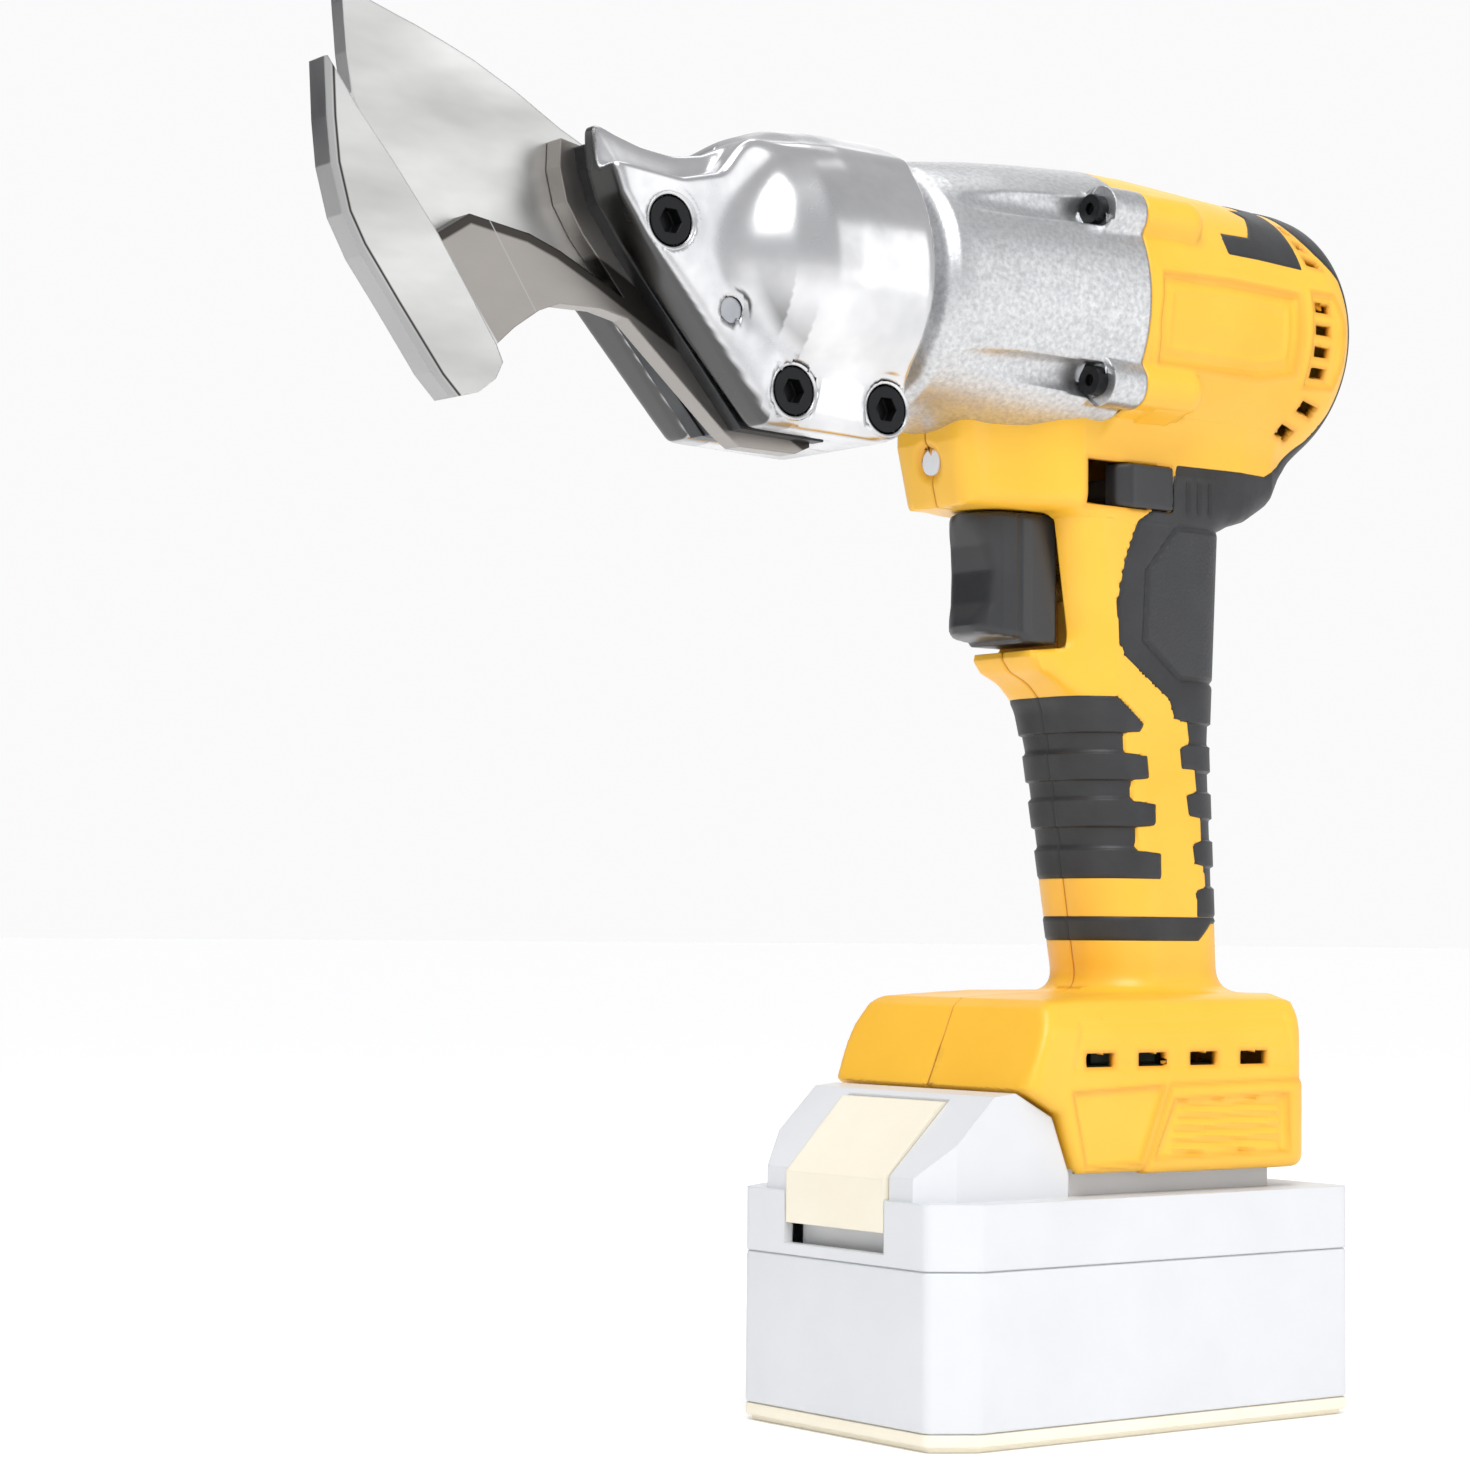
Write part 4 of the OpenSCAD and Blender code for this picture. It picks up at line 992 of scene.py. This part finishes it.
def blade_group():
    """Blade marks and painted shade: masks for the fixed blade's ground web, for its dark lines, which are
    painted shade along the web's top edge and along the back edge, and for its light ones.
    """
    g, given, out = new_group("Blade marks", [("Vector", "Vector", None)],
                              [("Float", "Web"), ("Float", "Dark"), ("Float", "Light")])
    x, y, z = node(g, "SeparateXYZ", {0: given["Vector"]}).outputs

    def line(a, b):
        """Distance in mm to the right of the line from a to b."""
        size = math.hypot(b[0] - a[0], b[1] - a[1])
        u, w = (b[1] - a[1]) / size, (a[0] - b[0]) / size
        along = maths(g, "MULTIPLY_ADD", x, u / MM, -u * a[0] - w * a[1])
        return maths(g, "MULTIPLY_ADD", z, w / MM, along)

    def chain(pts):
        """The least of the distances to the lines from point to point."""
        best = line(*pts[:2])
        for a, b in zip(pts[1:], pts[2:]):
            best = maths(g, "MINIMUM", best, line(a, b))
        return best

    def band(d, lo, hi, soft):
        """1 where the distance is between lo and hi, falling off over soft."""
        near = maths(g, "ABSOLUTE", maths(g, "SUBTRACT", d, (lo + hi) / 2))
        fall = maths(g, "DIVIDE", maths(g, "SUBTRACT", (hi - lo + soft) / 2, near), soft)
        return maths(g, "MINIMUM", maths(g, "MAXIMUM", fall, 0.0), 1.0)

    fixed = maths(g, "LESS_THAN", y, 0.0)
    web = maths(g, "MULTIPLY", band(line(*BLADE_WEB), 0.0, 90.0, 0.3), fixed)
    # painted shade: a dark band along the top edge of the web
    top = maths(g, "MULTIPLY", band(chain(BLADE_TOP), -4.0, 1.9, 0.5), web)
    scribe = maths(g, "MULTIPLY", band(line(*BLADE_SCRIBE), -0.12, 0.12, 0.15), web)
    # painted shade: a dark line along the back edge
    edge = band(chain(BLADE_BACK), 1.7, 2.3, 0.3)
    bevel = band(chain(BLADE_BACK), -1.0, 1.6, 0.6)
    g.links.new(web, out["Web"])
    for label, a, b in (("Dark", top, edge), ("Light", scribe, bevel)):
        g.links.new(maths(g, "MULTIPLY", maths(g, "MAXIMUM", a, b), fixed), out[label])
    return g


# slot: base colour, second colour, roughness low and high, metallic, fine scale, coarse scale,
# stretch, bump height in mm, coat, dust share
FINISHES = {
    "yellow_nylon": ("F8C03A", "F5B931", 0.34, 0.46, 0, 2600, 40, 1, 0.018, 0.12, 0.0),
    "black_rubber": ("2B2C2E", "212224", 0.42, 0.58, 0, 1300, 70, 1, 0.5, 0.06, 0.03),
    "zinc_steel": ("B9BCC0", "9FA2A6", 0.25, 0.4, 1, 1500, 90, 1, 0.008, 0, 0.02),
    "bearing_steel": ("C4C6C9", "B2B5B8", 0.12, 0.22, 1, 1500, 120, 1, 0.004, 0, 0),
    "cast_silver": ("DADBDC", "B9BABC", 0.3, 0.42, 0.95, 2300, 900, 1, 0.07, 0.0, 0.0),
    "black_steel": ("1B1C1E", "2A2B2D", 0.28, 0.42, 0.7, 1600, 110, 1, 0.01, 0, 0.02),
    "turned_aluminium": ("C8CACC", "B8BABD", 0.22, 0.34, 1, 900, 60, 14, 0.01, 0, 0),
    "gear_steel": ("8C8F93", "77797D", 0.25, 0.4, 1, 1400, 90, 1, 0.01, 0, 0),
    "lamination": ("5A5D62", "44464B", 0.4, 0.55, 0.9, 900, 90, 20, 0.03, 0, 0),
    "copper_wire": ("B2622A", "8F4A1C", 0.28, 0.45, 0.9, 1700, 140, 1, 0.03, 0.2, 0),
    "black_plastic": ("2A2B2D", "323335", 0.26, 0.4, 0, 2300, 60, 1, 0.012, 0.1, 0.03),
    "clear_lens": ("E6EBF2", "F3F6FA", 0.05, 0.1, 0, 1200, 60, 1, 0.002, 0.3, 0),
    "circuit_board": ("1F5B36", "174728", 0.3, 0.45, 0, 1500, 200, 1, 0.01, 0.2, 0),
    "brass_contact": ("D2A24A", "B98A36", 0.2, 0.34, 1, 1500, 120, 1, 0.006, 0, 0),
    "polished_aluminium": ("E6E6E7", "C2C3C5", 0.15, 0.32, 1, 1700, 42, 1, 0.006, 0, 0.0),
    "blade_steel": ("E2E2E0", "C2C2C0", 0.26, 0.44, 1, 1300, 48, 3, 0.012, 0, 0.0),
    "dark_steel": ("4E5052", "3A3B3D", 0.3, 0.46, 1, 1500, 80, 6, 0.012, 0, 0.0),
    "bronze": ("A87B3C", "8C632C", 0.25, 0.4, 1, 1500, 110, 1, 0.008, 0, 0),
    "grey_plastic": ("DCDEE1", "D8DADD", 0.32, 0.46, 0, 2400, 50, 1, 0.012, 0.1, 0.0),
    "cream_plastic": ("F3ECD9", "EFE7D2", 0.34, 0.48, 0, 2400, 50, 1, 0.012, 0.1, 0.02),
    "cell_wrap": ("4C6D8C", "3C5A77", 0.25, 0.38, 0, 1500, 90, 1, 0.006, 0.2, 0),
}
# tones of the blade's masks; the near-black one is painted shade
BLADE_TONES = {
    "Web": [0.35, 0.33, 0.31, 1], "Dark": [0.06, 0.055, 0.05, 1], "Light": [0.42, 0.42, 0.42, 1],
}
# how much lighter worn edges become, where it isn't 0.15
EDGE_TONE = {
    "cast_silver": 0.35, "polished_aluminium": 0.25, "blade_steel": 0.5, "dark_steel": 0.5,
    "black_steel": 0.4, "zinc_steel": 0.3, "black_plastic": 0.08, "yellow_nylon": 0.06,
}


def linear(code):
    """A colour code as linear red, green and blue."""
    c = np.array([int(code[i:i + 2], 16) / 255 for i in (0, 2, 4)])
    return [*np.where(c <= 0.04045, c / 12.92, ((c + 0.055) / 1.055) ** 2.4), 1.0]


def shade(colour, k):
    """The colour made k times as bright."""
    return [c * k for c in colour[:3]] + [1.0]


def make_material(slot, grain, wear, colour):
    """One finish: two tones mixed by the mottle, lighter on worn edges, with grain as bump."""
    tone, other, r0, r1, metal, fine, coarse, stretch, bump_mm, coat, dust = FINISHES[slot]
    base = list(colour) if colour else linear(tone)
    second = [b * min(1.2, s / max(t, 1e-3)) for b, s, t in zip(base, linear(other), linear(tone))]
    mat = bpy.data.materials.new(slot)
    mat.use_nodes = True
    tree = mat.node_tree
    shader = tree.nodes["Principled BSDF"]
    at = node(tree, "TexCoord").outputs["Object"]
    # the points' mark: painted shade on the housing and the cheeks, the inset on the rubber
    pocket = node(tree, "Attribute", attribute_name="pocket").outputs["Fac"]
    grades = {"Vector": at, "Fine": fine, "Coarse": coarse, "Stretch": 1.0 / stretch}
    g = node(tree, "Group", grades, node_tree=grain).outputs
    amount = EDGE_TONE.get(slot, 0.15)
    w = node(tree, "Group", {"Vector": at, "Amount": amount}, node_tree=wear).outputs

    def mix(a, b, fac):
        """Colour a where fac is 0, and b where it is 1."""
        return node(tree, "Mix", {0: fac, 6: a, 7: b}, data_type="RGBA").outputs[2]

    tint = mix(base, second[:3] + [1.0], g["Mottle"])
    tint = mix(tint, shade(base, 1.35), w["Edge"])
    if slot == "blade_steel":
        # the web's tone, the painted shade of the dark band and line, and the light lines
        marks = node(tree, "Group", {"Vector": at}, node_tree=blade_group()).outputs
        for label, tone in BLADE_TONES.items():
            tint = mix(tint, tone, marks[label])
    # painted shade: the yellow turns a deeper orange by its seams, panel lines and openings
    if slot == "yellow_nylon":
        tint = mix(tint, [base[0] * 0.84, base[1] * 0.66, base[2] * 0.5, 1.0], pocket)
    # painted shade: the cheeks' mark turns them near black
    if slot == "polished_aluminium":
        tint = mix(tint, [0.1, 0.1, 0.1, 1.0], pocket)
    height = g["Height"]
    if slot == "black_rubber":
        tint = mix(tint, shade(base, 1.5), maths(tree, "MULTIPLY", pocket, g["Mottle"]))
        height = maths(tree, "MULTIPLY", height, maths(tree, "MAXIMUM", pocket, 0.15))
    if dust:
        tint = mix(tint, [0.55, 0.53, 0.5, 1.0], maths(tree, "MULTIPLY", g["Dust"], dust))
    rough = node(tree, "MapRange", {"Value": g["Mottle"], "To Min": r0, "To Max": r1})
    bump = node(tree, "Bump", {
        "Strength": 0.6, "Distance": bump_mm * MM, "Height": height, "Normal": w["Normal"],
    })
    fill(tree, shader, {
        "Base Color": tint, "Roughness": rough.outputs["Result"], "Normal": bump.outputs["Normal"],
        "Metallic": metal, "Coat Weight": coat, "Coat Roughness": 0.25,
    })
    return mat


# ------------------------------------------------------------------ user settings


class ShearSizes(bpy.types.PropertyGroup):
    """Sizes that a user may change."""

    pitch: bpy.props.FloatProperty(
        name="Housing mesh step", description="Spacing of the points on the yellow housing",
        default=0.0008, min=0.0004, unit="LENGTH")
    rubber_pitch: bpy.props.FloatProperty(
        name="Rubber mesh step", description="Spacing of the points on the rubber",
        default=0.0006, min=0.0003, unit="LENGTH")
    wall: bpy.props.FloatProperty(
        name="Housing wall", description="Thickness of the housing wall",
        default=0.002, min=0.001, unit="LENGTH")
    rubber_seat: bpy.props.FloatProperty(
        name="Rubber seat", description="Depth of the seats for the rubber",
        default=0.001, min=0.0005, unit="LENGTH")


class ShearColours(bpy.types.PropertyGroup):
    """Colours that a user may change."""

    housing: bpy.props.FloatVectorProperty(
        name="Housing", description="Colour of the moulded housing", subtype="COLOR", size=4,
        default=linear(FINISHES["yellow_nylon"][0]), min=0, max=1)
    rubber: bpy.props.FloatVectorProperty(
        name="Rubber", description="Colour of the rubber grips", subtype="COLOR", size=4,
        default=linear(FINISHES["black_rubber"][0]), min=0, max=1)
    battery: bpy.props.FloatVectorProperty(
        name="Battery case", description="Colour of the battery case", subtype="COLOR", size=4,
        default=linear(FINISHES["grey_plastic"][0]), min=0, max=1)


def sizes_mm():
    """The user's sizes in millimetres."""
    s = bpy.context.scene.shear_sizes
    return {k: getattr(s, k) / MM for k in ("pitch", "rubber_pitch", "wall", "rubber_seat")}


def materials():
    """All finishes, made once; the frame's own plain colours give up their names to them."""
    if "Surface grain" not in bpy.data.node_groups:
        for plain in list(bpy.data.materials):
            plain.name = "plain " + plain.name
        grain, wear = grain_group(), wear_group()
        colours = bpy.context.scene.shear_colours
        own = {"yellow_nylon": colours.housing, "black_rubber": colours.rubber,
               "grey_plastic": colours.battery}
        for slot in FINISHES:
            make_material(slot, grain, wear, own.get(slot))
    return bpy.data.materials


# ------------------------------------------------------------------ operators


class SHEAR_OT_stage(bpy.types.Operator):
    """Pale floor, studio lights and the camera"""

    bl_idname = "shear.stage"
    bl_label = "Stage"

    def execute(self, context):
        build_stage()
        return {"FINISHED"}


class SHEAR_OT_finish_nodes(bpy.types.Operator):
    """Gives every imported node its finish"""

    bl_idname = "shear.finish_nodes"
    bl_label = "Frame finishes"

    def execute(self, context):
        mats = materials()
        slots = {part["node"]: part["material_slot"] for part in frame["record"]["subparts"]}
        for name, obj in frame["nodes"].items():
            obj.data.materials.clear()
            obj.data.materials.append(mats[slots[name]])
        return {"FINISHED"}


class SHEAR_OT_housing(bpy.types.Operator):
    """Yellow clamshell housing"""

    bl_idname = "shear.housing"
    bl_label = "Housing"

    def execute(self, context):
        build_housing(sizes_mm())
        return {"FINISHED"}


class SHEAR_OT_rubber(bpy.types.Operator):
    """Rubber pads and grips"""

    bl_idname = "shear.rubber"
    bl_label = "Rubber"

    def execute(self, context):
        s = sizes_mm()
        build_rubber("top_pad_rubber", "top_pad", TOP_PAD, ["barrel"], s)
        build_rubber("rear_grip_rubber", "rear_grip", REAR_GRIP, ["barrel", "belly", "handle"], s,
                     steps=REAR_STEPS, inset=INSET, extra=rear_ribs)
        build_rubber("front_grip_rubber", "front_grip", FRONT_GRIP, ["handle"], s, steps=FRONT_STEPS)
        build_rubber("grip_band_rubber", "grip_band", BAND, ["handle"], s)
        return {"FINISHED"}


class SHEAR_OT_gear_case(bpy.types.Operator):
    """Cast gear case"""

    bl_idname = "shear.gear_case"
    bl_label = "Gear case"

    def execute(self, context):
        skin_grid = closed_skin(gear_case, (-56, 0, AXIS), (1.6, 0, AXIS), (0, 0, 1), 0.5, 45, (0, 0), 381)
        add_piece("gear_case_casting", [skin_grid], "housing", "cast_silver", wall=CASE_WALL,
                  replaces=("gear_case",), smooth=32)
        return {"FINISHED"}


class SHEAR_OT_head(bpy.types.Operator):
    """Cast cheeks of the shear head with their screw seats"""

    bl_idname = "shear.head"
    bl_label = "Shear head"

    def execute(self, context):
        build_head()
        return {"FINISHED"}


class SHEAR_OT_controls(bpy.types.Operator):
    """Trigger and direction lever"""

    bl_idname = "shear.controls"
    bl_label = "Controls"

    def execute(self, context):
        build_controls()
        return {"FINISHED"}


class SHEAR_OT_battery(bpy.types.Operator):
    """Battery case and base band"""

    bl_idname = "shear.battery"
    bl_label = "Battery"

    def execute(self, context):
        build_battery()
        return {"FINISHED"}


class VIEW3D_PT_shear(bpy.types.Panel):
    """Sizes, colours and pieces of the shear"""

    bl_label = "Sheet-metal shear"
    bl_space_type = "VIEW_3D"
    bl_region_type = "UI"
    bl_category = "Shear"

    def draw(self, context):
        for group in (context.scene.shear_sizes, context.scene.shear_colours):
            for key in group.__annotations__:
                self.layout.prop(group, key)
        for op in OPERATORS:
            self.layout.operator(op.bl_idname)


OPERATORS = (
    SHEAR_OT_stage, SHEAR_OT_finish_nodes, SHEAR_OT_housing, SHEAR_OT_rubber, SHEAR_OT_gear_case,
    SHEAR_OT_head, SHEAR_OT_controls, SHEAR_OT_battery,
)
CLASSES = (ShearSizes, ShearColours) + OPERATORS + (VIEW3D_PT_shear,)


def register():
    """Makes the settings, operators and panel known to Blender."""
    for c in CLASSES:
        bpy.utils.register_class(c)
    bpy.types.Scene.shear_sizes = bpy.props.PointerProperty(type=ShearSizes)
    bpy.types.Scene.shear_colours = bpy.props.PointerProperty(type=ShearColours)


def unregister():
    """Takes them away again."""
    del bpy.types.Scene.shear_colours
    del bpy.types.Scene.shear_sizes
    for c in reversed(CLASSES):
        bpy.utils.unregister_class(c)


# ------------------------------------------------------------------ stage

# the camera's place in mm, its directions in degrees and its lens in mm
CAMERA_AT = (-530.17, -588.77, 108.37)
CAMERA_AZIMUTH = 36.864
CAMERA_PITCH = 3.332
CAMERA_ROLL = 0.4725
CAMERA_LENS = 84.15
SENSOR_WIDTH = 36
# half the floor's width, in m
FLOOR_HALF = 40.0
# where the dark flag stands, seen from the tool
FLAG_WAY = (-0.64, 0.76, -0.1)
# soft boxes: name, place, size in m, power in W
SOFT_BOXES = [
    ("key", (-0.75, -0.75, 0.95), (0.8, 0.5), 3.0),
    ("side", (0.55, -0.9, 0.45), (0.4, 0.8), 0.9),
    ("top", (0.0, 0.2, 1.1), (0.9, 0.4), 1.8),
    ("rear", (0.7, 0.6, 0.6), (0.6, 0.6), 0.8),
]
TOOL_MIDDLE = (-0.03, 0, 0.16)


def stand(obj, columns, at):
    """Gives an object its three directions, the columns of a square, and its place."""
    rows = [[*row, p] for row, p in zip(columns.tolist(), at)]
    obj.matrix_world = Matrix(rows + [[0, 0, 0, 1]])


def soft_box_light(name, at, size, power):
    """A soft box that faces the middle of the tool."""
    lamp = bpy.data.lights.new(name, "AREA")
    lamp.shape = "RECTANGLE"
    lamp.size, lamp.size_y = size
    lamp.energy = power
    z = np.array(at, float) - np.array(TOOL_MIDDLE, float)
    z /= np.linalg.norm(z)
    x = np.cross((0, 0, 1), z)
    x /= np.linalg.norm(x)
    stand(place(name, lamp), np.stack([x, np.cross(z, x), z], 1), at)


def pale_floor():
    """A wide pale sheet that the battery stands on."""
    mesh = bpy.data.meshes.new("floor")
    corners = [(u, v, 0) for u, v in rectangle(-FLOOR_HALF, FLOOR_HALF, -FLOOR_HALF, FLOOR_HALF)]
    mesh.from_pydata(corners, [], [(0, 1, 2, 3)])
    mat = bpy.data.materials.new("pale floor")
    mat.use_nodes = True
    fill(mat.node_tree, mat.node_tree.nodes["Principled BSDF"], {
        "Base Color": (0.97, 0.97, 0.97, 1), "Roughness": 0.7, "Emission Color": (1, 1, 1, 1),
        "Emission Strength": 0.1,
    })
    mesh.materials.append(mat)
    place("floor", mesh)


def studio_walls():
    """Grey surroundings, darker below, with one dark flag for the reflections, and a pale
    backdrop wherever the camera looks past the tool."""
    world = bpy.data.worlds.new("studio")
    world.use_nodes = True
    tree = world.node_tree
    around = node(tree, "TexCoord").outputs["Generated"]
    height = node(tree, "SeparateXYZ", {0: around}).outputs[2]
    ramp = node(tree, "ValToRGB", {"Fac": height})
    for element, (at, grey) in zip(ramp.color_ramp.elements, ((0.05, 0.7), (0.7, 0.55))):
        element.position = at
        element.color = (grey, grey, grey * 1.02, 1)
    toward = node(tree, "VectorMath", {0: around, 1: FLAG_WAY}, operation="DOT_PRODUCT")
    near = node(tree, "MapRange", {"Value": toward.outputs["Value"], "From Min": 0.5, "From Max": 0.95})
    flag = node(tree, "Mix", data_type="RGBA", inputs={
        0: near.outputs["Result"], 6: ramp.outputs["Color"], 7: (0.1, 0.1, 0.11, 1),
    })
    seen = node(tree, "LightPath").outputs["Is Camera Ray"]
    back = node(tree, "Mix", data_type="RGBA", inputs={
        0: seen, 6: flag.outputs[2], 7: (0.96, 0.96, 0.96, 1),
    })
    tree.links.new(back.outputs[2], tree.nodes["Background"].inputs["Color"])
    bpy.context.scene.world = world


def stage_camera():
    """The camera, aimed by its azimuth, pitch and roll."""
    az, pitch, roll = (math.radians(a) for a in (CAMERA_AZIMUTH, CAMERA_PITCH, CAMERA_ROLL))
    ahead = np.array([math.sin(az) * math.cos(pitch), math.cos(az) * math.cos(pitch), math.sin(pitch)])
    right = np.array([math.cos(az), -math.sin(az), 0])
    top = np.cross(right, ahead)
    x = math.cos(roll) * right + math.sin(roll) * top
    y = -math.sin(roll) * right + math.cos(roll) * top
    cam = bpy.data.cameras.new("camera")
    cam.lens = CAMERA_LENS
    cam.sensor_width = SENSOR_WIDTH
    cam.clip_start = 0.01
    obj = place("camera", cam)
    stand(obj, np.stack([x, y, -ahead], 1), [c * MM for c in CAMERA_AT])
    bpy.context.scene.camera = obj


def build_stage():
    """Floor, surroundings, sun, soft boxes and camera."""
    pale_floor()
    studio_walls()
    sun = bpy.data.lights.new("sun", "SUN")
    sun.energy = 1.55
    sun.angle = math.radians(35)
    place("sun", sun).rotation_euler = (math.radians(34), 0, math.radians(-38))
    for box in SOFT_BOXES:
        soft_box_light(*box)
    stage_camera()
    bpy.context.scene.view_settings.view_transform = "Standard"


def main():
    """Registers the add-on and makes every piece."""
    register()
    for op in OPERATORS:
        group, name = op.bl_idname.split(".")
        getattr(getattr(bpy.ops, group), name)()


if __name__ == "__main__":
    main()
